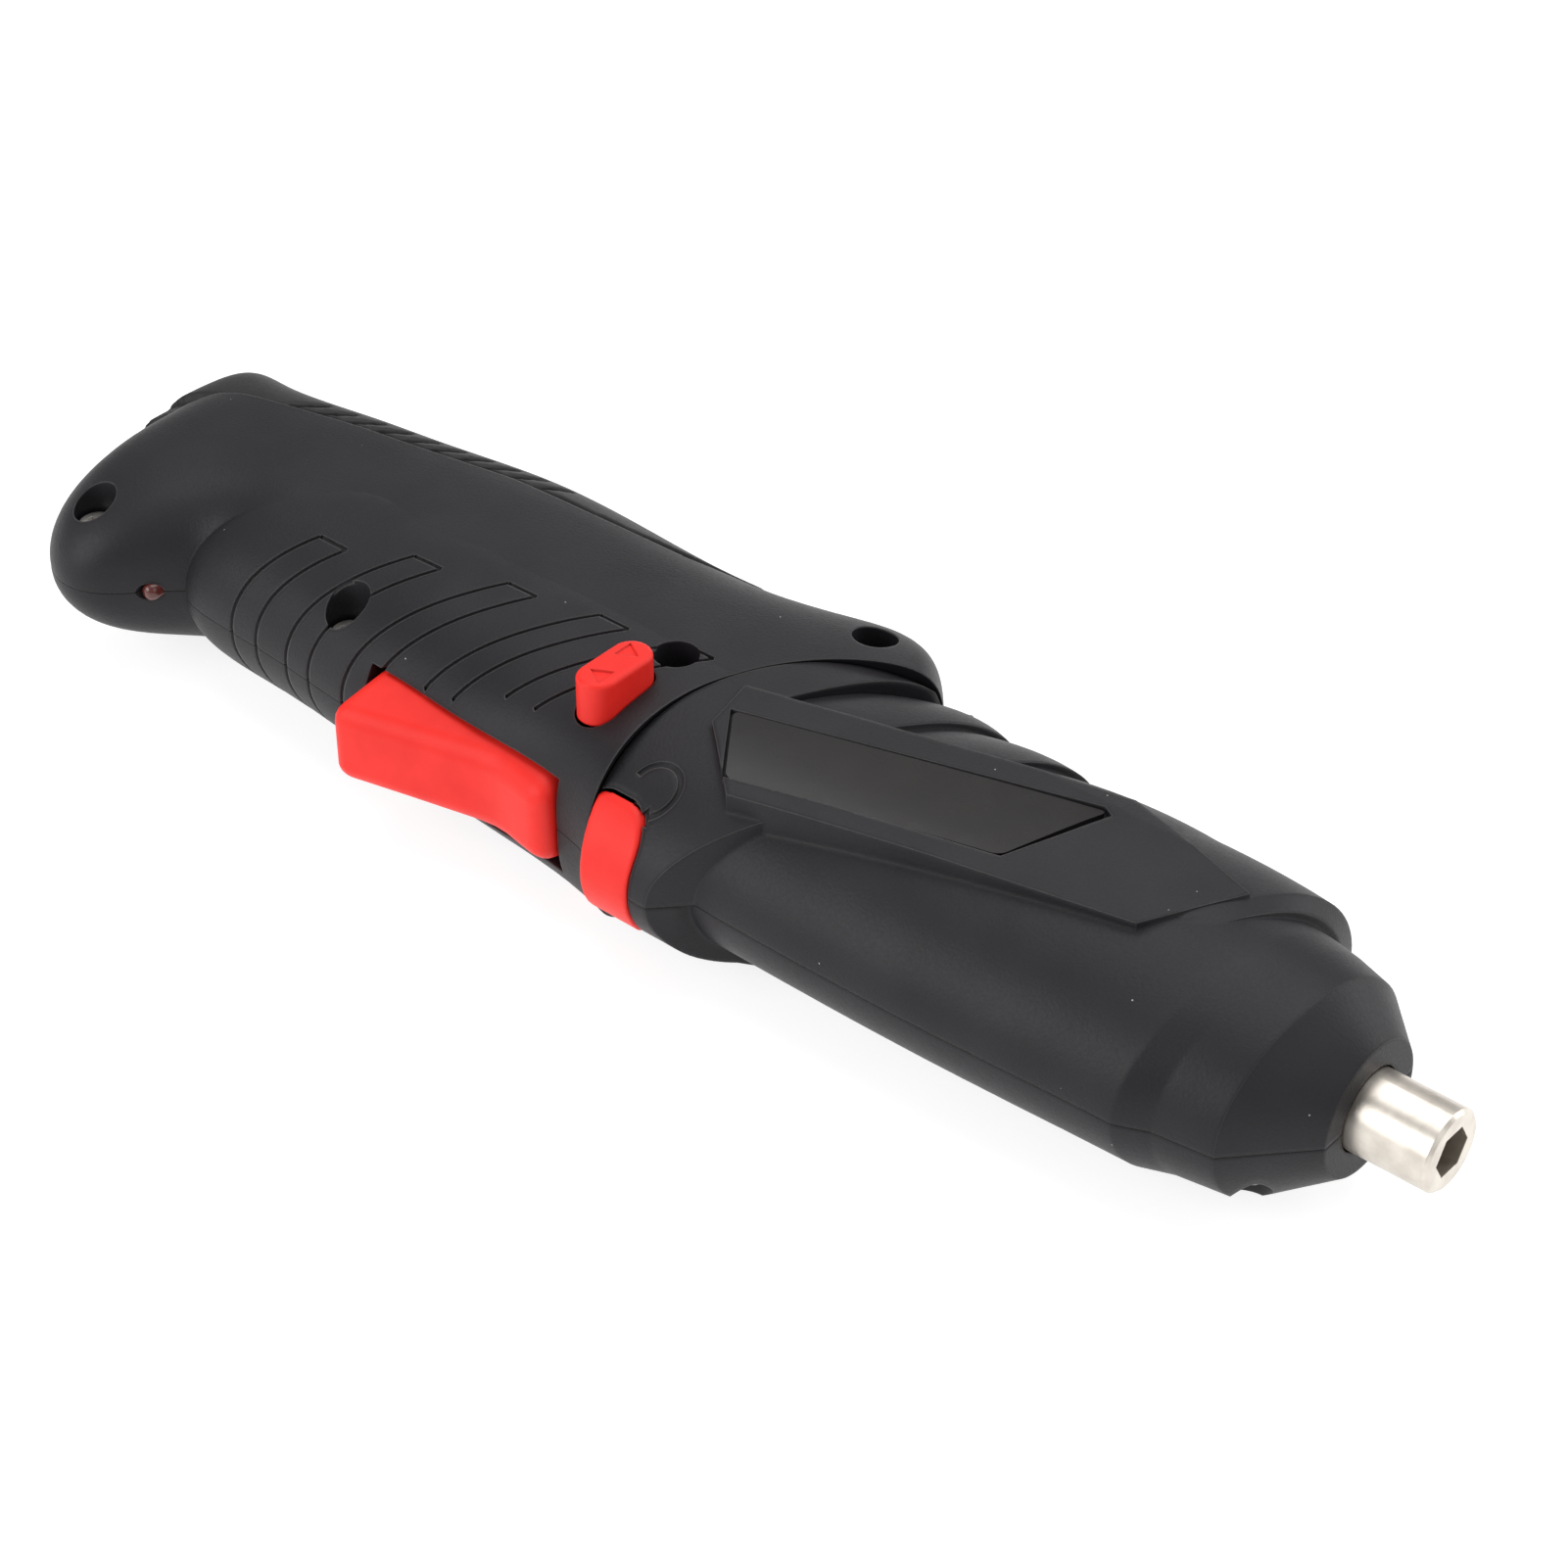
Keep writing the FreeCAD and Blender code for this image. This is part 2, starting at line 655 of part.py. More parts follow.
def ribs_half():
    """Upper half of the overlapping ribs across the back of the barrel."""
    chain = []
    for rows in RIB_STATION_SHARES:
        sections = []
        for x, lean, back, half in rows:
            sections.append(half_section(along(x), lean, RIB_FRONT_REACH, across(back), half * HALF_DEPTH,
                                         RIB_POWER, RIB_POWER))
        chain.append(loft(sections))
    return chain[0].fuse(chain[1:])


def plate_crown(inset):
    """Crowned form whose top the upper plate and the label window follow."""
    ends = []
    for share in (PLATE_PLAN_SHARES[4][0], PLATE_PLAN_SHARES[2][0]):
        ends.append(half_section(along(share), 0, PLATE_FRONT_REACH - inset, PLATE_BACK_REACH - inset,
                                 HALF_DEPTH + PLATE_CROWN - inset, PLATE_POWER, PLATE_POWER))
    return loft(ends)


def plate_half(plan_shares):
    """Raised plate on the upper or, mirrored, on the lower side."""
    return prism(plan_points(plan_shares), 0, HALF_DEPTH).common(plate_crown(0))


def nose_half():
    """Upper half of the band and the cone in front of the belly."""
    rows = [barrel_section(row, 0, BELLY_POWER) for row in BAND_STATION_SHARES]
    face = half_section(NOSE_FACE_X, 0, NOSE_FACE_RADIUS, NOSE_FACE_RADIUS, NOSE_FACE_RADIUS,
                        BELLY_POWER, BELLY_POWER)
    return loft(rows[:2], True).fuse([loft(rows[1:], True), loft([rows[2], face], True)])


def barrel_cavity(wall):
    rows = [barrel_section(row, wall, BELLY_POWER) for row in BELLY_STATION_SHARES]
    belly = loft(rows)
    case = rod_x(MOTOR_REAR_X, CASE_FRONT_X, CASE_RADIUS)
    return belly.fuse([case, hub_half(wall)])


def barrel_half(plate_shares, hub_shares):
    belly = loft([barrel_section(row, 0, BELLY_POWER) for row in BELLY_STATION_SHARES])
    hub = hub_half(0).common(prism(plan_points(hub_shares), 0, OVERRUN))
    outer = belly.fuse([hub, ribs_half(), plate_half(plate_shares), nose_half()])
    cavity = barrel_cavity(SHELL_WALL)
    ribs = []
    for x in MOTOR_RIB_X + CASE_RIB_X:
        ribs.append(box(x, x + RIB_THICKNESS, -HALF_WIDTH, HALF_WIDTH, 0, HALF_DEPTH))
    for x, y in screw_places(BARREL_SCREW_SHARES):
        ribs.append(rod_z(0, HALF_DEPTH, BARREL_BOSS_RADIUS, x, y))
    boss_foot = ARM_HALF_DEPTH + PIVOT_SIDE_GAP
    ribs.append(rod_z(boss_foot, HALF_DEPTH, PIVOT_BOSS_RADIUS, PIVOT_X, PIVOT_Y))
    inside = ribs[0].fuse(ribs[1:]).common(barrel_cavity(SHELL_WALL / 2))
    half = outer.cut(cavity).fuse(inside)
    half = half.cut(rod_x(MOTOR_REAR_X, MOTOR_FRONT_X, MOTOR_RADIUS))
    half = half.cut(rod_x(MOTOR_FRONT_X, CASE_FRONT_X, CASE_RADIUS))
    half = half.cut(rod_x(CASE_FRONT_X, BUSH_FRONT_X, BUSH_RADIUS))
    half = half.cut(rod_x(BUSH_FRONT_X, 0, NOSE_HOLE_RADIUS))
    half = half.cut(rod_z(0, PIVOT_PIN_HALF_LENGTH, PIVOT_PIN_RADIUS, PIVOT_X, PIVOT_Y))
    return half.cut(arm_sweep())


def arm_sweep():
    """Room in the hub for the handle's tongue over the whole fold."""
    start = ARM_ANGLE - FOLD_SPARE_ANGLE
    turn = FOLD_ANGLE + 2 * FOLD_SPARE_ANGLE
    depth = ARM_HALF_DEPTH + PIVOT_SIDE_GAP
    sector = Part.makeCylinder(OVERRUN, depth, V(0, 0, 0), V(0, 0, 1), turn)
    sector.rotate(V(0, 0, 0), V(0, 0, 1), start)
    sector.translate(V(PIVOT_X, PIVOT_Y, 0))
    return sector.fuse(rod_z(0, depth, EYE_RADIUS + PIVOT_SIDE_GAP, PIVOT_X, PIVOT_Y))


def lock_window(grow, back):
    """Rounded upright window in the hub for the lock button."""
    x0 = LOCK_LEFT_X - grow
    x1 = LOCK_RIGHT_X + grow
    z1 = LOCK_HALF_HEIGHT + grow
    block = box(x0, x1, -OVERRUN, back, -z1, z1)
    edges = [e for e in block.Edges if e.BoundBox.YLength > LOCK_CORNER and e.tangentAt(0).y]
    return block.makeFillet(LOCK_CORNER, edges)


def lock_button():
    hub = both(hub_half(0))
    button = hub.common(lock_window(0, LOCK_BACK_Y))
    return button.fuse(lock_collar(0, 0))


def lock_collar(grow, travel):
    """Tab that keeps the button from leaving its window, or the room for it."""
    half_height = LOCK_COLLAR_HALF_HEIGHT + grow
    return box(LOCK_SPRING_X - LOCK_SPRING_RADIUS, LOCK_COLLAR_RIGHT_X + grow, LOCK_COLLAR_Y - grow,
               LOCK_COLLAR_Y + LOCK_COLLAR_THICKNESS + travel + grow, -half_height, half_height)


def lock_seat():
    """Post in the upper shell behind the lock spring."""
    half_width = LOCK_SEAT_WIDTH / 2
    foot = ARM_HALF_DEPTH + PIVOT_SIDE_GAP
    return box(LOCK_SPRING_X - half_width, LOCK_SPRING_X + half_width, LOCK_SPRING_END_Y,
               LOCK_SPRING_END_Y + LOCK_SEAT_THICKNESS, foot, HALF_DEPTH)


def turn_mark():
    """Open ring with an arrow head, engraved skin deep in the hub."""
    outer = MARK_RADIUS + MARK_WIDTH / 2
    inner = MARK_RADIUS - MARK_WIDTH / 2
    band = Part.makeCylinder(outer, HUB_RIM_HEIGHT, V(0, 0, 0), V(0, 0, 1), MARK_SWEEP_ANGLE)
    band = band.cut(Part.makeCylinder(inner, HUB_RIM_HEIGHT))
    corners = [V(outer + MARK_WIDTH, 0, 0), V(inner - MARK_WIDTH, 0, 0), V(MARK_RADIUS, -MARK_HEAD, 0)]
    mark = band.fuse(prism(corners, 0, HUB_RIM_HEIGHT))
    mark.rotate(V(0, 0, 0), V(0, 0, 1), MARK_END_ANGLE)
    mark.translate(V(MARK_X, MARK_Y, 0))
    return mark.cut(hub_half(MARK_DEPTH))


def label_recess():
    deep = plate_crown(LABEL_RECESS + LABEL_THICKNESS)
    return prism(plan_points(LABEL_PLAN_SHARES), 0, OVERRUN).cut(deep)


def label_window():
    return label_recess().common(plate_crown(LABEL_RECESS))


def barrel_shells():
    upper_half = barrel_half(PLATE_PLAN_SHARES, HUB_PLAN_SHARES)
    lower_half = lower(barrel_half(LOWER_PLATE_PLAN_SHARES, LOWER_HUB_PLAN_SHARES))
    upper_half = upper_half.fuse(lock_seat().common(hub_half(SHELL_WALL / 2)))
    window = lock_window(SLIDE_FIT, LOCK_ROOM_Y).fuse(lock_collar(SLIDE_FIT, LOCK_TRAVEL))
    upper_half = upper_half.cut(window).cut(label_recess()).cut(turn_mark())
    lower_half = lower_half.cut(window)
    for x, y in screw_places(BARREL_SCREW_SHARES):
        lower_half = lower_half.cut(rod_z(-OVERRUN, -SCREW_SEAT_Z, RECESS_RADIUS, x, y))
        shank = rod_z(-SCREW_SEAT_Z, SCREW_LENGTH - SCREW_SEAT_Z, SCREW_SHANK_RADIUS, x, y)
        upper_half = upper_half.cut(shank)
        lower_half = lower_half.cut(shank)
    return upper_half, lower_half


# Gears

def involute_flank(base, root, tip, start_turn, sign):
    """Points of one tooth flank from its foot to the tip radius."""
    points = []
    steps = 5
    start = math.sqrt(max((root / base) ** 2 - 1, 0))
    reach = math.sqrt((tip / base) ** 2 - 1)
    for i in range(steps + 1):
        roll = start + (reach - start) * i / steps
        radius = base * math.sqrt(1 + roll ** 2)
        turn = start_turn + sign * (roll - math.atan(roll))
        points.append(V(0, radius * math.cos(turn), radius * math.sin(turn)))
    return points


def gear_outline(teeth, tip, root, thin):
    """Closed outline of an external involute gear about the X axis."""
    pitch = MODULE * teeth / 2
    pressure = math.radians(PRESSURE_ANGLE)
    base = pitch * math.cos(pressure)
    half_tooth = math.pi / teeth / 2 - thin / pitch / 2
    start = half_tooth + math.tan(pressure) - pressure
    edges = []
    last = None
    first = None
    for i in range(teeth):
        middle = 2 * math.pi * i / teeth
        rising = involute_flank(base, root, tip, middle - start, 1)
        falling = involute_flank(base, root, tip, middle + start, -1)
        foot_in = rising[0]
        foot_out = falling[0]
        if root < base:
            foot_in = V(0, root * math.cos(middle - start), root * math.sin(middle - start))
            foot_out = V(0, root * math.cos(middle + start), root * math.sin(middle + start))
            edges.append(Part.makeLine(foot_in, rising[0]))
        if last is not None:
            edges.append(Part.makeLine(last, foot_in))
        else:
            first = foot_in
        curve_up = Part.BSplineCurve()
        curve_up.interpolate(rising)
        curve_down = Part.BSplineCurve()
        curve_down.interpolate(falling[::-1])
        edges.append(curve_up.toShape())
        edges.append(Part.makeLine(rising[-1], falling[-1]))
        edges.append(curve_down.toShape())
        if root < base:
            edges.append(Part.makeLine(falling[0], foot_out))
        last = foot_out
    edges.append(Part.makeLine(last, first))
    return Part.Wire(Part.__sortEdges__(edges))


def gear(teeth, length, tip_share, root_share, thin):
    pitch = MODULE * teeth / 2
    wire = gear_outline(teeth, pitch + tip_share * MODULE, pitch - root_share * MODULE, thin)
    return Part.Face(wire).extrude(V(length, 0, 0))


def outer_gear(teeth, length):
    return gear(teeth, length, ADDENDUM_SHARE, DEDENDUM_SHARE, BACKLASH)


def ring_space(length):
    """The space inside a ring gear: a gear with fat teeth."""
    return gear(RING_TEETH, length, DEDENDUM_SHARE, ADDENDUM_SHARE, -BACKLASH)


def turned(shape, degrees):
    copy = shape.copy()
    copy.rotate(V(0, 0, 0), V(1, 0, 0), degrees)
    return copy


def planet_spin(i):
    """Own turn of planet i that brings its teeth into mesh at rest."""
    place = 360.0 * i / PLANET_COUNT
    return 180.0 + 180.0 / PLANET_TEETH + place + place * SUN_TEETH / PLANET_TEETH


def planet(i, x):
    body = turned(outer_gear(PLANET_TEETH, GEAR_LENGTH), planet_spin(i))
    body = body.cut(rod_x(0, GEAR_LENGTH, PLANET_PIN_RADIUS + RUNNING_FIT))
    place = 2 * math.pi * i / PLANET_COUNT
    orbit = MODULE * (SUN_TEETH + PLANET_TEETH) / 2
    body.translate(V(x, orbit * math.cos(place), orbit * math.sin(place)))
    return body


def planet_pins(x0, x1):
    orbit = MODULE * (SUN_TEETH + PLANET_TEETH) / 2
    pins = []
    for i in range(PLANET_COUNT):
        place = 2 * math.pi * i / PLANET_COUNT
        pins.append(rod_x(x0, x1, PLANET_PIN_RADIUS, orbit * math.cos(place), orbit * math.sin(place)))
    return pins


def gear_case():
    case = rod_x(MOTOR_FRONT_X, CASE_FRONT_X, CASE_RADIUS)
    teeth = turned(ring_space(CASE_FRONT_X - CASE_END_WALL - MOTOR_FRONT_X), 180.0 / RING_TEETH)
    teeth.translate(V(MOTOR_FRONT_X, 0, 0))
    hole = rod_x(CASE_FRONT_X - CASE_END_WALL, CASE_FRONT_X, SPINDLE_RADIUS + RUNNING_FIT)
    return case.cut(teeth).cut(hole)


def first_carrier():
    """Disc driven by the first planets, with the second sun gear on its front."""
    x0 = FIRST_STAGE_X + GEAR_LENGTH + GEAR_SIDE_GAP
    x1 = x0 + CARRIER_THICKNESS
    disc = rod_x(x0, x1, CARRIER_RADIUS)
    sun = outer_gear(SUN_TEETH, SECOND_STAGE_X + GEAR_LENGTH - x1)
    sun.translate(V(x1, 0, 0))
    return disc.fuse([sun] + planet_pins(FIRST_STAGE_X, x0))


def output_carrier():
    """Disc driven by the second planets, with the output spindle on its front."""
    x0 = SECOND_STAGE_X + GEAR_LENGTH + GEAR_SIDE_GAP
    disc = rod_x(x0, x0 + CARRIER_THICKNESS, CARRIER_RADIUS)
    spindle = rod_x(x0 + CARRIER_THICKNESS, -HEX_DEPTH - MAGNET_LENGTH - MAGNET_LENGTH, SPINDLE_RADIUS)
    return disc.fuse([spindle] + planet_pins(SECOND_STAGE_X, x0))


def bit_holder():
    body = rod_x(HOLDER_REAR_X, 0, HOLDER_RADIUS)
    rims = [e for e in body.Edges if e.Length > HOLDER_RADIUS + HOLDER_RADIUS and e.Closed]
    body = body.makeChamfer(HOLDER_CHAMFER, rims)
    corner = HEX_FLATS / math.sqrt(3)
    points = []
    for i in range(7):
        turn = math.pi * i / 3
        points.append(V(0, corner * math.cos(turn), corner * math.sin(turn)))
    hexagon = Part.Face(Part.makePolygon(points)).extrude(V(-HEX_DEPTH, 0, 0))
    magnet_pocket = rod_x(-HEX_DEPTH - MAGNET_LENGTH, -HEX_DEPTH, MAGNET_RADIUS)
    rear_bore = rod_x(HOLDER_REAR_X, -HEX_DEPTH - MAGNET_LENGTH - MAGNET_LENGTH, SPINDLE_RADIUS)
    groove = rod_x(BUSH_REAR_X - CLIP_THICKNESS - GEAR_SIDE_GAP, BUSH_REAR_X - GEAR_SIDE_GAP, CLIP_RADIUS)
    groove = groove.cut(rod_x(BUSH_REAR_X - CLIP_RADIUS, BUSH_REAR_X, HOLDER_RADIUS - CLIP_GROOVE_DEPTH))
    return body.cut(hexagon).cut(magnet_pocket).cut(rear_bore).cut(groove)


def retaining_clip():
    x0 = BUSH_REAR_X - CLIP_THICKNESS - GEAR_SIDE_GAP
    ring = rod_x(x0, x0 + CLIP_THICKNESS, CLIP_RADIUS)
    ring = ring.cut(rod_x(x0, x0 + CLIP_THICKNESS, HOLDER_RADIUS - CLIP_GROOVE_DEPTH))
    mouth = CLIP_RADIUS / 4
    return ring.cut(box(x0, x0 + CLIP_THICKNESS, -mouth, mouth, 0, CLIP_RADIUS))


def nose_bush():
    bush = rod_x(BUSH_REAR_X, BUSH_FRONT_X, BUSH_RADIUS)
    return bush.cut(rod_x(BUSH_REAR_X, BUSH_FRONT_X, HOLDER_RADIUS + RUNNING_FIT))


def bit_magnet():
    return rod_x(-HEX_DEPTH - MAGNET_LENGTH, -HEX_DEPTH, MAGNET_RADIUS)


def motor_can():
    can = rod_x(MOTOR_REAR_X + MOTOR_CAP_LENGTH, MOTOR_FRONT_X, MOTOR_RADIUS)
    can = can.cut(rod_x(MOTOR_REAR_X + MOTOR_CAP_LENGTH, MOTOR_FRONT_X - MOTOR_WALL, MOTOR_RADIUS - MOTOR_WALL))
    boss = rod_x(MOTOR_FRONT_X, MOTOR_FRONT_X + MOTOR_BOSS_LENGTH, MOTOR_BOSS_RADIUS)
    hole = rod_x(MOTOR_FRONT_X - MOTOR_WALL, MOTOR_FRONT_X + MOTOR_BOSS_LENGTH, SHAFT_RADIUS + RUNNING_FIT)
    return can.fuse(boss).cut(hole)


def motor_end_cap():
    cap = rod_x(MOTOR_REAR_X, MOTOR_REAR_X + MOTOR_CAP_LENGTH, MOTOR_RADIUS)
    return cap.cut(rod_x(MOTOR_REAR_X, MOTOR_REAR_X + MOTOR_CAP_LENGTH, SHAFT_RADIUS + RUNNING_FIT))


def motor_rotor():
    """Shaft with the wound core of the motor."""
    shaft = rod_x(MOTOR_REAR_X, FIRST_STAGE_X + GEAR_LENGTH, SHAFT_RADIUS)
    core_radius = MOTOR_RADIUS - MOTOR_WALL - MAGNET_WALL - ROTOR_GAP
    core_rear = MOTOR_REAR_X + MOTOR_CAP_LENGTH + MOTOR_BOSS_RADIUS
    core = rod_x(core_rear, MOTOR_FRONT_X - MOTOR_BOSS_RADIUS, core_radius)
    return shaft.fuse(core)


def motor_magnets():
    """Two curved magnets on the inside wall of the motor can."""
    outer = MOTOR_RADIUS - MOTOR_WALL
    rear = MOTOR_REAR_X + MOTOR_CAP_LENGTH + MOTOR_BOSS_RADIUS
    length = MOTOR_FRONT_X - MOTOR_BOSS_RADIUS - rear
    arc = Part.makeCylinder(outer, length, V(rear, 0, 0), V(1, 0, 0), MAGNET_ARC_ANGLE)
    arc = arc.cut(rod_x(rear, rear + length, outer - MAGNET_WALL))
    return Part.makeCompound([arc, turned(arc, 180)])


def motor_pinion():
    pinion = outer_gear(SUN_TEETH, GEAR_LENGTH)
    pinion.translate(V(FIRST_STAGE_X, 0, 0))
    return pinion.cut(rod_x(FIRST_STAGE_X, FIRST_STAGE_X + GEAR_LENGTH, SHAFT_RADIUS))


# Handle insides

def battery_cell():
    front = CELL_REAR_X + CELL_LENGTH
    cell = rod_x(CELL_REAR_X, front, CELL_RADIUS, CELL_Y)
    return cell.fuse(rod_x(front, front + CELL_NUB_LENGTH, CELL_NUB_RADIUS, CELL_Y))


def battery_tab(x):
    half = TAB_WIDTH / 2
    return box(x, x + TAB_THICKNESS, CELL_Y - half, CELL_Y + half, -TAB_HEIGHT / 2, TAB_HEIGHT / 2)


def charge_board():
    y0 = LED_FACE_Y + LED_LENGTH
    return box(LED_X - BOARD_REAR_REACH, LED_X + BOARD_FRONT_REACH, y0, y0 + BOARD_THICKNESS,
               -BOARD_HEIGHT / 2, BOARD_HEIGHT / 2)


def charge_led():
    """Small lamp with a domed face and a flange that rests on the board."""
    end = LED_FACE_Y + LED_LENGTH
    body = rod_y(LED_FACE_Y + LED_RADIUS, end, LED_RADIUS, LED_X)
    face = Part.makeSphere(LED_RADIUS, V(LED_X, LED_FACE_Y + LED_RADIUS, 0))
    return body.fuse([face, rod_y(end - LED_FLANGE_LENGTH, end, LED_FLANGE_RADIUS, LED_X)])


def charge_jack():
    """Round charging socket with a centre pin, facing the back of the butt."""
    end = JACK_Y + JACK_LENGTH
    body = rod_y(JACK_Y, end, JACK_RADIUS, JACK_X)
    body = body.cut(rod_y(JACK_Y + JACK_PIN_RADIUS, end, JACK_BORE_RADIUS, JACK_X))
    return body.fuse(rod_y(JACK_Y, end - JACK_PIN_RADIUS, JACK_PIN_RADIUS, JACK_X))


def switch_body():
    block = box(SWITCH_X, SWITCH_X + SWITCH_LENGTH, SWITCH_FRONT_Y, SWITCH_FRONT_Y + SWITCH_DEPTH,
                -SWITCH_HALF_HEIGHT, SWITCH_HALF_HEIGHT)
    bore = rod_y(SWITCH_FRONT_Y, PLUNGER_END_Y + PLUNGER_TRAVEL, PLUNGER_RADIUS + RUNNING_FIT, PLUNGER_X)
    return block.cut(bore)


def trigger():
    outline = [V(TRIGGER_REAR_X, TRIGGER_BACK_Y, 0), V(TRIGGER_REAR_X, TRIGGER_TAIL_Y, 0),
               V(TRIGGER_KNEE_X, TRIGGER_KNEE_Y, 0), V(TRIGGER_FRONT_X, TRIGGER_HEAD_Y, 0),
               V(TRIGGER_FRONT_X, TRIGGER_BACK_Y, 0)]
    body = prism(outline, -TRIGGER_HALF_HEIGHT, TRIGGER_HALF_HEIGHT)
    slope = [V(0, TRIGGER_SHOULDER_Y, TRIGGER_HALF_HEIGHT), V(0, TRIGGER_TAIL_Y, TRIGGER_FACE_HALF_HEIGHT),
             V(0, TRIGGER_TAIL_Y, TRIGGER_HALF_HEIGHT)]
    wedge = Part.Face(Part.makePolygon(slope + slope[:1])).extrude(V(OVERRUN, 0, 0))
    wedge.translate(V(TRIGGER_REAR_X, 0, 0))
    body = body.cut(wedge).cut(lower(wedge))
    edges = [e for e in body.Edges if e.BoundBox.YMin < TRIGGER_BACK_Y - TRIGGER_ROUND]
    body = body.makeFillet(TRIGGER_ROUND, edges)
    flange = box(TRIGGER_REAR_X, TRIGGER_FRONT_X, TRIGGER_BACK_Y - TRIGGER_FLANGE, TRIGGER_BACK_Y,
                 -TRIGGER_FLANGE_HALF_HEIGHT, TRIGGER_FLANGE_HALF_HEIGHT)
    body = body.fuse(flange)
    return body.cut(rod_y(PLUNGER_FRONT_Y, TRIGGER_BACK_Y, SPRING_BORE_RADIUS, PLUNGER_X))


def switch_plunger():
    return rod_y(PLUNGER_FRONT_Y, PLUNGER_END_Y, PLUNGER_RADIUS, PLUNGER_X)


def spring(x, z, y0, y1, radius, turns):
    """Coil spring along Y with its wire ends on the two seats."""
    length = y1 - y0 - 2 * SPRING_WIRE_RADIUS
    steps = turns * SPRING_STEPS_PER_TURN
    sections = []
    for i in range(steps + 1):
        turn = 2 * math.pi * i / SPRING_STEPS_PER_TURN
        place = V(x + radius * math.cos(turn), y0 + SPRING_WIRE_RADIUS + length * i / steps,
                  z + radius * math.sin(turn))
        run = V(-math.sin(turn), 0, math.cos(turn))
        sections.append(Part.Wire(Part.makeCircle(SPRING_WIRE_RADIUS, place, run)))
    return Part.makeLoft(sections, True, True)


def trigger_spring():
    return spring(PLUNGER_X, 0, PLUNGER_FRONT_Y, SWITCH_FRONT_Y, SPRING_RADIUS, TRIGGER_SPRING_TURNS)


def lock_spring():
    return spring(LOCK_SPRING_X, LOCK_SPRING_Z, LOCK_BACK_Y, LOCK_SPRING_END_Y, LOCK_SPRING_RADIUS, LOCK_SPRING_TURNS)


def selector_arrow(y, sign):
    """Triangle engraved in the selector's top, pointing along the tool."""
    half_length = ARROW_LENGTH / 2
    half_width = ARROW_WIDTH / 2
    points = [V(SELECTOR_X + sign * half_width, y, 0), V(SELECTOR_X - sign * half_width, y - half_length, 0),
              V(SELECTOR_X - sign * half_width, y + half_length, 0)]
    return prism(points, SELECTOR_TOP - ARROW_DEPTH, SELECTOR_TOP)


def direction_selector():
    head = obround(SELECTOR_X, SELECTOR_Y, SELECTOR_LENGTH, SELECTOR_WIDTH, SELECTOR_HEAD_BOTTOM, SELECTOR_TOP)
    rim = [e for e in head.Edges if e.BoundBox.ZMin > SELECTOR_TOP - SELECTOR_ROUND]
    head = head.makeFillet(SELECTOR_ROUND, rim)
    foot = obround(SELECTOR_X, SELECTOR_Y, SELECTOR_LENGTH, SELECTOR_WIDTH, SELECTOR_BOTTOM, SELECTOR_FOOT_TOP)
    right = SELECTOR_X + SELECTOR_WIDTH / 2
    half = SELECTOR_NECK_LENGTH / 2
    neck = box(right - SELECTOR_NECK_WIDTH, right, SELECTOR_Y - half, SELECTOR_Y + half,
               SELECTOR_FOOT_TOP, SELECTOR_HEAD_BOTTOM)
    body = head.fuse([neck, foot])
    quarter = SELECTOR_LENGTH / 4
    body = body.cut(selector_arrow(SELECTOR_Y - quarter, -1))
    return body.cut(selector_arrow(SELECTOR_Y + quarter, 1))


def pivot_pin():
    return rod_z(-PIVOT_PIN_HALF_LENGTH, PIVOT_PIN_HALF_LENGTH, PIVOT_PIN_RADIUS, PIVOT_X, PIVOT_Y)


def screw_group(shares, from_below):
    screws = []
    for x, y in screw_places(shares):
        one = screw(x, y, SCREW_SEAT_Z)
        screws.append(lower(one) if from_below else one)
    return Part.makeCompound(screws)


def build():
    nodes = {}
    nodes["handle_upper_shell"], nodes["handle_lower_shell"] = handle_shells()
    nodes["back_pad"] = back_pad()
    nodes["handle_screws"] = screw_group(HANDLE_SCREW_SHARES, False)
    nodes["battery_cell"] = battery_cell()
    nodes["battery_rear_tab"] = battery_tab(CELL_REAR_X - TAB_THICKNESS)
    nodes["battery_front_tab"] = battery_tab(CELL_REAR_X + CELL_LENGTH + CELL_NUB_LENGTH)
    nodes["charge_board"] = charge_board()
    nodes["charge_led"] = charge_led()
    nodes["charge_jack"] = charge_jack()
    nodes["switch_body"] = switch_body()
    nodes["trigger"] = trigger()
    nodes["switch_plunger"] = switch_plunger()
    nodes["trigger_spring"] = trigger_spring()
    nodes["direction_selector"] = direction_selector()
    nodes["barrel_upper_shell"], nodes["barrel_lower_shell"] = barrel_shells()
    nodes["barrel_screws"] = screw_group(BARREL_SCREW_SHARES, True)
    nodes["label_window"] = label_window()
    nodes["pivot_pin"] = pivot_pin()
    nodes["lock_button"] = lock_button()
    nodes["lock_spring"] = lock_spring()
    nodes["motor_can"] = motor_can()
    nodes["motor_end_cap"] = motor_end_cap()
    nodes["motor_magnets"] = motor_magnets()
    nodes["motor_rotor"] = motor_rotor()
    nodes["motor_pinion"] = motor_pinion()
    nodes["gear_case"] = gear_case()
    for i in range(PLANET_COUNT):
        nodes["first_planet_%d" % (i + 1)] = planet(i, FIRST_STAGE_X)
        nodes["second_planet_%d" % (i + 1)] = planet(i, SECOND_STAGE_X)
    nodes["first_carrier"] = first_carrier()
    nodes["output_carrier"] = output_carrier()
    nodes["nose_bush"] = nose_bush()
    nodes["bit_holder"] = bit_holder()
    nodes["bit_magnet"] = bit_magnet()
    nodes["retaining_clip"] = retaining_clip()
    return nodes


nodes = build()
for name, shape in nodes.items():
    shape.translate(V(-REST_X, 0, HALF_DEPTH))
    shape.exportStep("parts/" + name + ".step")
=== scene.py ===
import math

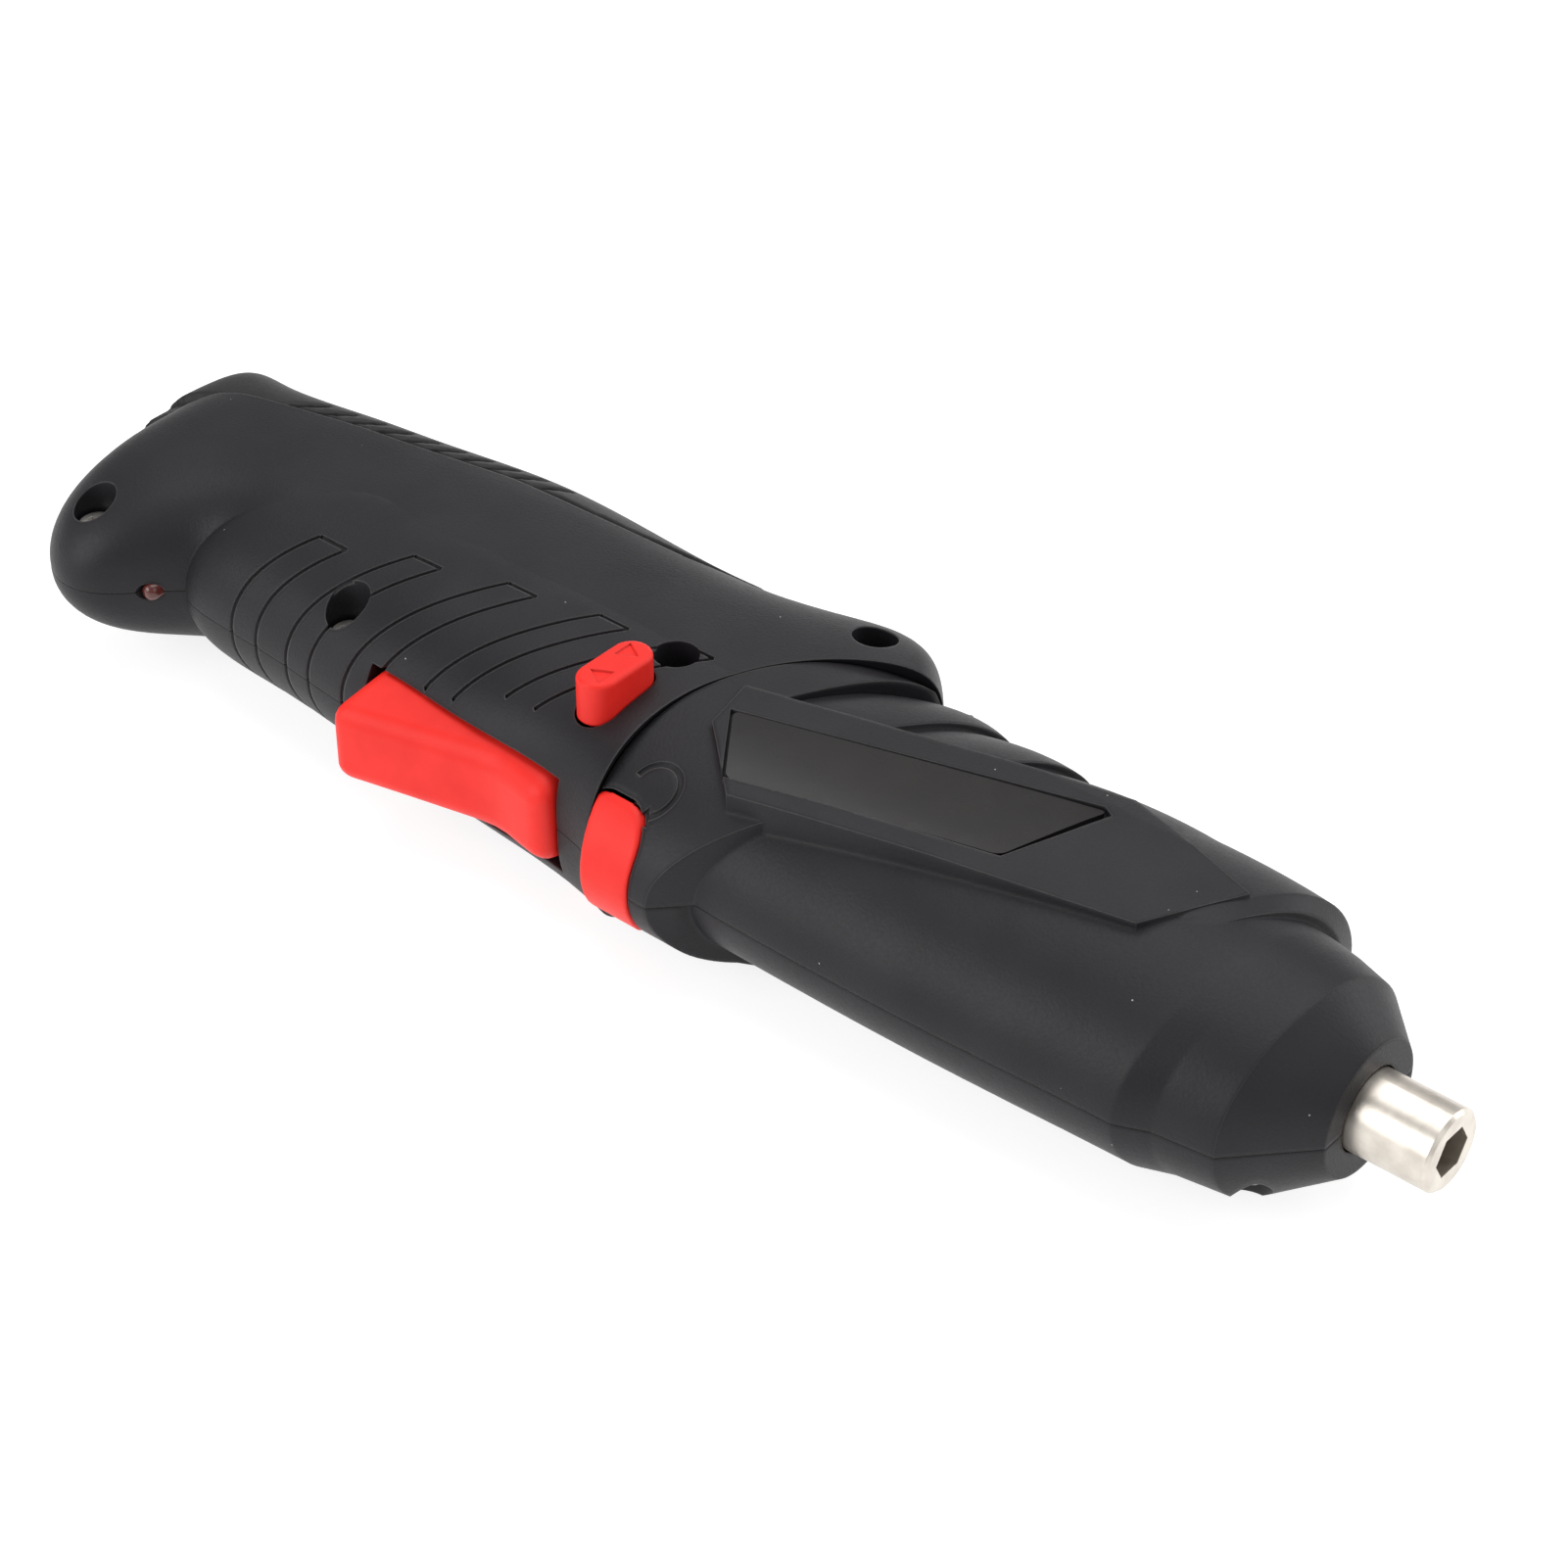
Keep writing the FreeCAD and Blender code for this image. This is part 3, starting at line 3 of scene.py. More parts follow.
import bpy
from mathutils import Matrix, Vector


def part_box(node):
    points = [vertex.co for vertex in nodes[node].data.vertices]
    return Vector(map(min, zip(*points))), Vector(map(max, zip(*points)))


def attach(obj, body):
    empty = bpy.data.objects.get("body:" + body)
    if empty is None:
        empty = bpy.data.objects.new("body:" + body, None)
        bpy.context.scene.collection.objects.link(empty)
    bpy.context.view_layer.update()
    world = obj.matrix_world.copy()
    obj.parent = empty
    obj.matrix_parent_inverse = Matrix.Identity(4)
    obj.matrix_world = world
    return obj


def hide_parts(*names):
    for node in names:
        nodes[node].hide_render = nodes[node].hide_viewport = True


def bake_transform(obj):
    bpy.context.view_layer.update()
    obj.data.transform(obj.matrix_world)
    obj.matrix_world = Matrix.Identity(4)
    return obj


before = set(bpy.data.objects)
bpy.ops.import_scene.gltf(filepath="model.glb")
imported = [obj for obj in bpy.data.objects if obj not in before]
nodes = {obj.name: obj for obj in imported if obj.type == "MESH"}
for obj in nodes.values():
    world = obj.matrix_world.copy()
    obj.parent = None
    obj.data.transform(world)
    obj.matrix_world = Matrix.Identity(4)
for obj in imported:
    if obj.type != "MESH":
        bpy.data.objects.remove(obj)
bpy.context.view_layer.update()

# Lengths are in metres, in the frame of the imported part: the spindle runs along X at this
# height, and the shells part in the same plane. Numbers in plan tables are in millimetres.
MM = 0.001
PARTING_HEIGHT = 17.5 * MM

# The photograph's camera
IMAGE_PIXELS = 1601
FOCAL_PIXELS = 4000
SENSOR_WIDTH = 36.0
CAMERA_AZIMUTH = 40.67
CAMERA_ELEVATION = 37.40
CAMERA_DISTANCE = 563.0 * MM
CAMERA_TARGET = Vector((-37.55, 7.22, 13.40)) * MM
CAMERA_CLIP_START = 0.01

# Softboxes: name, place, size and power, all aimed at one point
SOFTBOXES = (
    ("top_softbox", (-0.15, 0.25, 0.95), 1.1, 6.4),
    ("front_softbox", (-0.45, -0.85, 0.50), 0.8, 5.6),
    ("right_softbox", (0.80, -0.10, 0.55), 0.7, 1.2),
    ("rim_softbox", (0.45, 0.80, 0.45), 0.7, 3.4),
    ("back_softbox", (-0.55, 0.85, 0.16), 0.4, 0.5),
)
LIGHT_AIM = (-0.03, 0.0, 0.01)
WORLD_STRENGTH = 0.40

# The floor is a light table, lit from below
FLOOR_SIZE = 8.0
FLOOR_GLOW = 0.80
FLOOR_TONE = 0.4
FLOOR_DARK_COLOUR = (0.40, 0.40, 0.40, 1)
FLOOR_LIGHT_COLOUR = (0.44, 0.44, 0.44, 1)
FLOOR_ROUGH = 0.9
WHITE = (1, 1, 1, 1)

# Charcoal shells: colours, grain, a painted highlight on the outward edges that is partly edge
# wear, parting line and dust
SHELL_COLOUR = (0.0122, 0.0112, 0.0134, 1)
SHELL_WORN_COLOUR = (0.0166, 0.0154, 0.0180, 1)
# Colour of the outward edges: a painted highlight, partly edge wear
SHELL_EDGE_WEAR_AND_HIGHLIGHT_COLOUR = (0.090, 0.086, 0.088, 1)
SHELL_GRAIN = 0.45 * MM
SHELL_GRAIN_DEPTH = 0.06 * MM
SHELL_GRAIN_STRENGTH = 0.7
SHELL_CLOUD = 14 * MM
SHELL_SPECULAR = 0.24
SHELL_ROUGH = (0.38, 0.56)
SHELL_EDGE_WIDTH = 0.4 * MM
HANDLE_EDGE_ROUND = 0.55 * MM
BARREL_EDGE_ROUND = 1.0 * MM
EDGE_SAMPLES = 6
EDGE_TURN_FADE = (0.03, 0.20)
EDGE_OPEN_FADE = (0.80, 0.95)
LINE_HALF_WIDTH = 0.11 * MM
LINE_COLOUR = (0.002, 0.002, 0.0025, 1)
DUST_COLOUR = (0.42, 0.41, 0.40, 1)
DUST_SPACING = 3.6 * MM
DUST_RADIUS = 0.11 * MM
DUST_SHARE = 0.24
PATCH_FADE = (0.35, 0.7)
PATCH_DETAIL = 2.0

# Rubber of the back pad
PAD_COLOUR = (0.0120, 0.0117, 0.0132, 1)
PAD_LIGHT_COLOUR = (0.0180, 0.0176, 0.0192, 1)
PAD_GRAIN = 0.6 * MM
PAD_GRAIN_DEPTH = 0.05 * MM
PAD_GRAIN_STRENGTH = 0.5
PAD_CLOUD = 9 * MM
PAD_EDGE_ROUND = 0.4 * MM
PAD_SPECULAR = 0.28
PAD_ROUGH = (0.42, 0.60)

# Signal red of the controls
RED_COLOUR = (0.84, 0.026, 0.018, 1)
RED_DEEP_COLOUR = (0.76, 0.018, 0.012, 1)
RED_GRAIN = 0.35 * MM
RED_GRAIN_DEPTH = 0.03 * MM
RED_GRAIN_STRENGTH = 0.4
RED_CLOUD = 6 * MM
RED_CLOUD_FADE = (0.3, 0.75)
RED_EDGE_ROUND = 0.5 * MM
RED_SPECULAR = 0.26
RED_ROUGH = (0.40, 0.54)

# Gloss of the label window
LABEL_COLOUR = (0.0085, 0.0072, 0.0070, 1)
LABEL_HAZE_COLOUR = (0.0125, 0.0105, 0.0100, 1)
LABEL_HAIR = 0.5 * MM
LABEL_HAIR_DETAIL = 4.0
LABEL_HAIR_STRETCH = (0.05, 1.0, 1.0)
LABEL_HAIR_DEPTH = 0.004 * MM
LABEL_HAIR_STRENGTH = 0.3
LABEL_HAZE = 11 * MM
LABEL_SPECULAR = 0.36
LABEL_ROUGH = (0.22, 0.32)

# Lens of the charge lamp
LAMP_COLOUR = (0.090, 0.014, 0.010, 1)
LAMP_PALE_COLOUR = (0.15, 0.030, 0.022, 1)
LAMP_CLOUD = 1.2 * MM
LAMP_RELIEF = 0.02 * MM
LAMP_RELIEF_STRENGTH = 0.2
LAMP_TRANSMISSION = 0.25
LAMP_COAT = 0.3
LAMP_ROUGH = (0.18, 0.3)

# Metals: marks round the spindle axis, stains, then name, colours, roughness and pieces
METAL_MARK = 0.25 * MM
METAL_MARK_STRETCH = (1.0, 0.04, 0.04)
METAL_MARK_DEPTH = 0.01 * MM
METAL_MARK_STRENGTH = 0.35
METAL_EDGE_ROUND = 0.2 * MM
METAL_STAIN = 3 * MM
METAL_STAIN_FADE = (0.35, 0.75)
ZINC_STEEL = ("zinc_steel", (0.50, 0.49, 0.47, 1), (0.34, 0.33, 0.32, 1), (0.24, 0.42))
STEEL_PIECES = (
    "pivot_pin", "trigger_spring", "lock_spring", "motor_can", "battery_rear_tab",
    "battery_front_tab", "motor_rotor", "first_carrier", "output_carrier", "retaining_clip",
    "second_planet_1", "second_planet_2", "second_planet_3",
)
METALS = (
    ("nickel_plate", (0.74, 0.69, 0.62, 1), (0.58, 0.53, 0.47, 1), (0.26, 0.46), ("bit_holder",)),
    ("bright_zinc", (0.86, 0.84, 0.79, 1), (0.62, 0.60, 0.56, 1), (0.30, 0.50),
     ("handle_screws", "barrel_screws")),
    ("brass", (0.62, 0.42, 0.16, 1), (0.48, 0.31, 0.11, 1), (0.22, 0.4),
     ("nose_bush", "motor_pinion")),
)

# Inner mouldings and coated pieces: grain, then name, colours, roughness and pieces
MOULDING_GRAIN = 0.8 * MM
MOULDING_GRAIN_DEPTH = 0.03 * MM
MOULDING_GRAIN_STRENGTH = 0.3
MOULDINGS = (
    ("dark_moulding", (0.010, 0.010, 0.011, 1), (0.016, 0.016, 0.017, 1), (0.35, 0.55),
     ("charge_jack", "switch_body", "motor_end_cap")),
    ("dark_ferrite", (0.030, 0.030, 0.032, 1), (0.050, 0.050, 0.052, 1), (0.4, 0.6),
     ("motor_magnets", "bit_magnet")),
    ("nylon", (0.66, 0.63, 0.55, 1), (0.58, 0.55, 0.47, 1), (0.35, 0.5),
     ("gear_case", "switch_plunger", "first_planet_1", "first_planet_2", "first_planet_3")),
    ("cell_wrap", (0.030, 0.12, 0.19, 1), (0.024, 0.10, 0.16, 1), (0.25, 0.35),
     ("battery_cell",)),
    ("board_mask", (0.012, 0.085, 0.028, 1), (0.010, 0.070, 0.022, 1), (0.3, 0.45),
     ("charge_board",)),
)

# Points nearer than this are one, and how strongly one pass of softening acts
WELD = 0.002 * MM
SOFTEN_FACTOR = 0.5

# The back pad: its even grid, its softening, and the groove along the line in plan where it
# meets the shell
PAD_VOXEL = 0.40 * MM
PAD_SOFTEN_PASSES = 5
PAD_GROOVE_PASSES = 2
PAD_EDGE_LINE = ((-163.0, 3.0), (-155.0, 7.51), (-140.0, 12.11), (-125.0, 15.32), (-110.0, 17.76),
                 (-95.0, 19.33), (-80.0, 19.98), (-60.0, 22.81), (-43.0, 25.2))
PAD_EDGE_BAND = 1.3 * MM
PAD_EDGE_SINK = 1.4 * MM

# The trigger: its plan from the tail to the finger rest, its height, taper and rounding
TRIGGER_TAIL = -90.2 * MM
TRIGGER_END = -52.1 * MM
TRIGGER_BACK = -14.3 * MM
TRIGGER_SHOULDER = -21.5 * MM
TRIGGER_PLAN = ((-90.2, -32.2), (-78.5, -29.3), (-67.0, -26.5), (-64.2, -26.1), (-61.5, -26.2),
                (-58.5, -26.8), (-55.6, -27.3), (-52.1, -27.3))
TRIGGER_HALF_HEIGHT = 7.8 * MM
TRIGGER_FACE_TAPER = 0.82
TRIGGER_ROUND = 2.7 * MM
TRIGGER_ROUND_STEPS = 6
TRIGGER_ROUND_ANGLE = math.radians(30)

# The lock button stands a little proud of the hub
LOCK_VOXEL = 0.28 * MM
LOCK_OUTER_FACE = -24.6 * MM
LOCK_PROUD = 0.35 * MM
LOCK_SOFTEN_PASSES = 3
SPRING_SMOOTH_ANGLE = math.radians(40)

# The label window: its outline in plan, its rounded corners and the form that trims it
LABEL_OUTLINE = ((-35.35, -6.05), (17.5, 9.75), (12.3, -7.25), (-27.05, -17.25))
LABEL_CORNER = 1.2 * MM
LABEL_CORNER_STEPS = 6
LABEL_TRIM_RADIUS = 20.0 * MM
LABEL_TRIM_BOTTOM = 30.0 * MM
LABEL_TRIM_HEIGHT = 8.0 * MM
LABEL_SMOOTH_ANGLE = math.radians(30)

# The lamp's lens, on an axis across the tool: each step of the dome has its rise and shrinking
LAMP_X = -138.3 * MM
LAMP_RADIUS = 1.50 * MM
LAMP_SIDES = 48
LAMP_ROOT = -18.0 * MM
LAMP_DOME_START = -22.7 * MM
LAMP_DOME_STEPS = ((0.45, 0.94), (0.40, 0.86), (0.32, 0.74), (0.18, 0.50))
LAMP_SMOOTH_ANGLE = math.radians(50)


class Shader:
    """A principled material whose patterns follow the object's own coordinates."""

    def __init__(self, name):
        self.material = bpy.data.materials.new(name)
        self.material.use_nodes = True
        self.tree = self.material.node_tree
        self.surface = self.tree.nodes["Principled BSDF"]
        self.place = self.add("ShaderNodeTexCoord").outputs["Object"]

    def add(self, kind, **values):
        """A new node with the given settings."""
        node = self.tree.nodes.new(kind)
        for key, value in values.items():
            setattr(node, key, value)
        return node

    def link(self, output, node, socket):
        self.tree.links.new(output, node.inputs[socket])

    def set(self, socket, value):
        """A constant on the surface itself."""
        self.surface.inputs[socket].default_value = value

    def noise(self, size, detail=3.0, stretch=None):
        """Value of a noise whose features are about the given size across."""
        place = self.place
        if stretch:
            mapping = self.add("ShaderNodeMapping")
            mapping.inputs["Scale"].default_value = stretch
            self.link(place, mapping, "Vector")
            place = mapping.outputs["Vector"]
        noise = self.add("ShaderNodeTexNoise")
        noise.inputs["Scale"].default_value = 1.0 / size
        noise.inputs["Detail"].default_value = detail
        self.link(place, noise, "Vector")
        return noise.outputs["Fac"]

    def ramp(self, value, low, high):
        """Grey that goes from black to white while the value goes from low to high."""
        ramp = self.add("ShaderNodeValToRGB")
        ramp.color_ramp.elements[0].position = low
        ramp.color_ramp.elements[1].position = high
        self.link(value, ramp, "Fac")
        return ramp.outputs["Color"]

    def mix(self, amount, one, other):
        """Colour between one and the other, each a colour or an output."""
        mix = self.add("ShaderNodeMix", data_type="RGBA")
        self.link(amount, mix, "Factor")
        for socket, colour in ((6, one), (7, other)):
            if isinstance(colour, tuple):
                mix.inputs[socket].default_value = colour
            else:
                self.link(colour, mix, socket)
        return mix.outputs[2]

    def math(self, operation, one, other=None):
        """Result of an operation on one or two values, each a number or an output."""
        node = self.add("ShaderNodeMath", operation=operation)
        for socket, value in ((0, one), (1, other)):
            if value is None:
                continue
            if isinstance(value, (int, float)):
                node.inputs[socket].default_value = value
            else:
                self.link(value, node, socket)
        return node.outputs[0]

    def spots(self, spacing, radius, share):
        """1 inside small scattered spots, on the given share of the places."""
        cells = self.add("ShaderNodeTexVoronoi")
        cells.inputs["Scale"].default_value = 1.0 / spacing
        self.link(self.place, cells, "Vector")
        near = self.math("LESS_THAN", cells.outputs["Distance"], radius / spacing)
        split = self.add("ShaderNodeSeparateColor")
        self.link(cells.outputs["Color"], split, "Color")
        chosen = self.math("LESS_THAN", split.outputs["Red"], share)
        return self.math("MULTIPLY", near, chosen)

    def parting_line(self, half_width):
        """1 on the thin line where the two shells meet."""
        split = self.add("ShaderNodeSeparateXYZ")
        self.link(self.place, split, "Vector")
        height = self.math("SUBTRACT", split.outputs["Z"], PARTING_HEIGHT)
        return self.math("LESS_THAN", self.math("ABSOLUTE", height), half_width)

    def rounded_normal(self, radius):
        """Surface direction as if all edges had the given radius."""
        edges = self.add("ShaderNodeBevel", samples=EDGE_SAMPLES)
        edges.inputs["Radius"].default_value = radius
        return edges.outputs["Normal"]

    def edge_wear_and_highlight(self, width):
        """1 on outward edges, fading over the given width, and 0 in grooves: where the painted
        edge highlight, partly edge wear, goes.
        """
        turn = self.add("ShaderNodeVectorMath", operation="DOT_PRODUCT")
        self.link(self.rounded_normal(width), turn, 0)
        self.link(self.add("ShaderNodeNewGeometry").outputs["Normal"], turn, 1)
        open_sky = self.add("ShaderNodeAmbientOcclusion", samples=EDGE_SAMPLES, only_local=True)
        open_sky.inputs["Distance"].default_value = width
        near = self.ramp(self.math("SUBTRACT", 1.0, turn.outputs["Value"]), *EDGE_TURN_FADE)
        clear = self.ramp(open_sky.outputs["AO"], *EDGE_OPEN_FADE)
        return self.math("MULTIPLY", near, clear)

    def bump(self, height, depth, strength, edge_round=0.0):
        """Relief of the given depth, over edges that look rounded off."""
        bump = self.add("ShaderNodeBump")
        bump.inputs["Strength"].default_value = strength
        bump.inputs["Distance"].default_value = depth
        self.link(height, bump, "Height")
        if edge_round:
            self.link(self.rounded_normal(edge_round), bump, "Normal")
        self.link(bump.outputs["Normal"], self.surface, "Normal")

    def finish(self, colour, value, rough):
        """Sets the colour, and a roughness that follows the value between two limits."""
        self.link(colour, self.surface, "Base Color")
        grade = self.add("ShaderNodeMapRange")
        grade.inputs["To Min"].default_value = rough[0]
        grade.inputs["To Max"].default_value = rough[1]
        self.link(value, grade, "Value")
        self.link(grade.outputs["Result"], self.surface, "Roughness")
        return self.material


def moulded_shell(name, edge_round):
    """Charcoal plastic with a fine spark-eroded texture, a painted highlight on its outward edges
    that is partly edge wear, a parting line and a little dust.
    """
    shader = Shader(name)
    grain = shader.noise(SHELL_GRAIN, PATCH_DETAIL)
    cloud = shader.noise(SHELL_CLOUD, PATCH_DETAIL)
    colour = shader.mix(shader.ramp(cloud, *PATCH_FADE), SHELL_COLOUR, SHELL_WORN_COLOUR)
    # Outward edges made lighter: a painted highlight along the edges, partly edge wear
    colour = shader.mix(shader.edge_wear_and_highlight(SHELL_EDGE_WIDTH), colour, SHELL_EDGE_WEAR_AND_HIGHLIGHT_COLOUR)
    line = shader.parting_line(LINE_HALF_WIDTH)
    colour = shader.mix(line, colour, LINE_COLOUR)
    dust = shader.spots(DUST_SPACING, DUST_RADIUS, DUST_SHARE)
    colour = shader.mix(dust, colour, DUST_COLOUR)
    relief = shader.math("SUBTRACT", grain, line)
    shader.bump(relief, SHELL_GRAIN_DEPTH, SHELL_GRAIN_STRENGTH, edge_round)
    shader.set("Specular IOR Level", SHELL_SPECULAR)
    return shader.finish(colour, grain, SHELL_ROUGH)


def soft_pad():
    """Dull black rubber."""
    shader = Shader("soft_pad")
    grain = shader.noise(PAD_GRAIN, PATCH_DETAIL)
    cloud = shader.noise(PAD_CLOUD, PATCH_DETAIL)
    colour = shader.mix(shader.ramp(cloud, *PATCH_FADE), PAD_COLOUR, PAD_LIGHT_COLOUR)
    shader.bump(grain, PAD_GRAIN_DEPTH, PAD_GRAIN_STRENGTH, PAD_EDGE_ROUND)
    shader.set("Specular IOR Level", PAD_SPECULAR)
    return shader.finish(colour, grain, PAD_ROUGH)


def red_plastic():
    """Signal red plastic, a little deeper in patches, with a very fine grain."""
    shader = Shader("red_plastic")
    grain = shader.noise(RED_GRAIN, PATCH_DETAIL)
    cloud = shader.noise(RED_CLOUD, PATCH_DETAIL)
    colour = shader.mix(shader.ramp(cloud, *RED_CLOUD_FADE), RED_COLOUR, RED_DEEP_COLOUR)
    shader.bump(grain, RED_GRAIN_DEPTH, RED_GRAIN_STRENGTH, RED_EDGE_ROUND)
    shader.set("Specular IOR Level", RED_SPECULAR)
    return shader.finish(colour, grain, RED_ROUGH)


def label_gloss():
    """Polished black window with faint haze and hairlines, left bare."""
    shader = Shader("label_gloss")
    hairs = shader.noise(LABEL_HAIR, LABEL_HAIR_DETAIL, LABEL_HAIR_STRETCH)
    haze = shader.noise(LABEL_HAZE, PATCH_DETAIL)
    colour = shader.mix(haze, LABEL_COLOUR, LABEL_HAZE_COLOUR)
    shader.bump(hairs, LABEL_HAIR_DEPTH, LABEL_HAIR_STRENGTH)
    shader.set("Specular IOR Level", LABEL_SPECULAR)
    return shader.finish(colour, haze, LABEL_ROUGH)


def turned_metal(name, light, dark, rough):
    """Plated metal with fine marks round the spindle axis."""
    shader = Shader(name)
    marks = shader.noise(METAL_MARK, stretch=METAL_MARK_STRETCH)
    stain = shader.noise(METAL_STAIN)
    colour = shader.mix(shader.ramp(stain, *METAL_STAIN_FADE), light, dark)
    shader.bump(marks, METAL_MARK_DEPTH, METAL_MARK_STRENGTH, METAL_EDGE_ROUND)
    shader.set("Metallic", 1.0)
    return shader.finish(colour, marks, rough)


def lamp_lens():
    """Dark red lens, glassy and a little uneven."""
    shader = Shader("lamp_lens")
    depth = shader.noise(LAMP_CLOUD, PATCH_DETAIL)
    colour = shader.mix(depth, LAMP_COLOUR, LAMP_PALE_COLOUR)
    shader.bump(depth, LAMP_RELIEF, LAMP_RELIEF_STRENGTH)
    shader.set("Transmission Weight", LAMP_TRANSMISSION)
    shader.set("Coat Weight", LAMP_COAT)
    return shader.finish(colour, depth, LAMP_ROUGH)


def plain_moulding(name, light, dark, rough):
    """Inner moulding or coated piece with a faint grain."""
    shader = Shader(name)
    grain = shader.noise(MOULDING_GRAIN)
    colour = shader.mix(grain, light, dark)
    shader.bump(grain, MOULDING_GRAIN_DEPTH, MOULDING_GRAIN_STRENGTH)
    return shader.finish(colour, grain, rough)


def light_table():
    """White floor that glows, so that the tool throws only a faint shadow on it."""
    shader = Shader("pale_floor")
    tone = shader.noise(FLOOR_TONE, PATCH_DETAIL)
    colour = shader.mix(tone, FLOOR_DARK_COLOUR, FLOOR_LIGHT_COLOUR)
    shader.link(colour, shader.surface, "Base Color")
    shader.set("Roughness", FLOOR_ROUGH)
    shader.set("Emission Color", WHITE)
    shader.set("Emission Strength", FLOOR_GLOW)
    shader.set("Specular IOR Level", 0.0)
    return shader.material


def coat(piece, material):
    """The piece has this material alone."""
    piece.data.materials.clear()
    piece.data.materials.append(material)


def paint(material, *names):
    """Gives CAD nodes a material."""
    for name in names:
        coat(nodes[name], material)


def dress_nodes(red, steel):
    """Gives every CAD node its finish, the ones that are replaced later apart."""
    handle = moulded_shell("handle_moulding", HANDLE_EDGE_ROUND)
    paint(handle, "handle_upper_shell", "handle_lower_shell")
    barrel = moulded_shell("barrel_moulding", BARREL_EDGE_ROUND)
    paint(barrel, "barrel_upper_shell", "barrel_lower_shell")
    paint(red, "direction_selector")
    paint(steel, *STEEL_PIECES)
    for name, light, dark, rough, pieces in METALS:
        paint(turned_metal(name, light, dark, rough), *pieces)
    for name, light, dark, rough, pieces in MOULDINGS:
        paint(plain_moulding(name, light, dark, rough), *pieces)


def take(piece):
    """Makes a piece the active one, and the only one selected."""
    bpy.ops.object.select_all(action="DESELECT")
    piece.select_set(True)
    bpy.context.view_layer.objects.active = piece


def welded_copy(name, node_name):
    """A copy of a CAD node's mesh with its triangles joined, as the active object."""
    piece = bpy.data.objects.new(name, nodes[node_name].data.copy())
    bpy.context.scene.collection.objects.link(piece)
    take(piece)
    bpy.ops.object.mode_set(mode="EDIT")
    bpy.ops.mesh.select_all(action="SELECT")
    bpy.ops.mesh.remove_doubles(threshold=WELD)
    bpy.ops.object.mode_set(mode="OBJECT")
    return piece


def new_piece(name=None):
    """The primitive just added, with its place, turn and size in its mesh."""
    piece = bpy.context.object
    if name:
        piece.name = name
    bpy.ops.object.transform_apply(location=True, rotation=True, scale=True)
    return piece


def even_grid(piece, voxel):
    """Turns the active piece's mesh into an even grid of the given size."""
    grid = piece.modifiers.new("even_grid", "REMESH")
    grid.mode = "VOXEL"
    grid.voxel_size = voxel
    grid.use_smooth_shade = True
    bpy.ops.object.modifier_apply(modifier=grid.name)


def soften(piece, passes):
    """Takes the sharpness off the active piece's edges."""
    smooth = piece.modifiers.new("soften", "SMOOTH")
    smooth.factor = SOFTEN_FACTOR
    smooth.iterations = passes
    bpy.ops.object.modifier_apply(modifier=smooth.name)


def finish_piece(piece, material, body, node_name):
    """The piece takes the place of its CAD node on the body that carries it."""
    coat(piece, material)
    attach(piece, body)
    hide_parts(node_name)


def select_points(piece, test):
    """Selects, in edit mode, the points whose place passes the test."""
    bpy.ops.object.mode_set(mode="EDIT")
    bpy.ops.mesh.select_mode(type="VERT")
    bpy.ops.mesh.select_all(action="DESELECT")
    bpy.ops.object.mode_set(mode="OBJECT")
    for point in piece.data.vertices:
        point.select = test(point.co)
    bpy.ops.object.mode_set(mode="EDIT")


def near_pad_edge(co):
    """Whether a point of the pad lies in the band along the edge where it meets the shell."""
    for (x0, y0), (x1, y1) in zip(PAD_EDGE_LINE, PAD_EDGE_LINE[1:]):
        if x0 * MM <= co.x <= x1 * MM:
            edge = y0 * MM + (y1 - y0) * MM * (co.x - x0 * MM) / ((x1 - x0) * MM)
            return co.y < edge + PAD_EDGE_BAND
    return False


def rubber_back_pad():
    """Soft pad over the back of the handle: the CAD pad with all its edges and notches rounded,
    and a groove along the shell on both sides."""
    pad = welded_copy("rubber_back_pad", "back_pad")
    even_grid(pad, PAD_VOXEL)
    soften(pad, PAD_SOFTEN_PASSES)
    for side in (-1, 1):
        select_points(pad, lambda co: (near_pad_edge(co)
                                       and side * (co.z - PARTING_HEIGHT) > PAD_EDGE_SINK))
        bpy.ops.transform.translate(value=(0, 0, -side * PAD_EDGE_SINK))
    bpy.ops.object.mode_set(mode="OBJECT")
    soften(pad, PAD_GROOVE_PASSES)
    finish_piece(pad, soft_pad(), "handle", "back_pad")


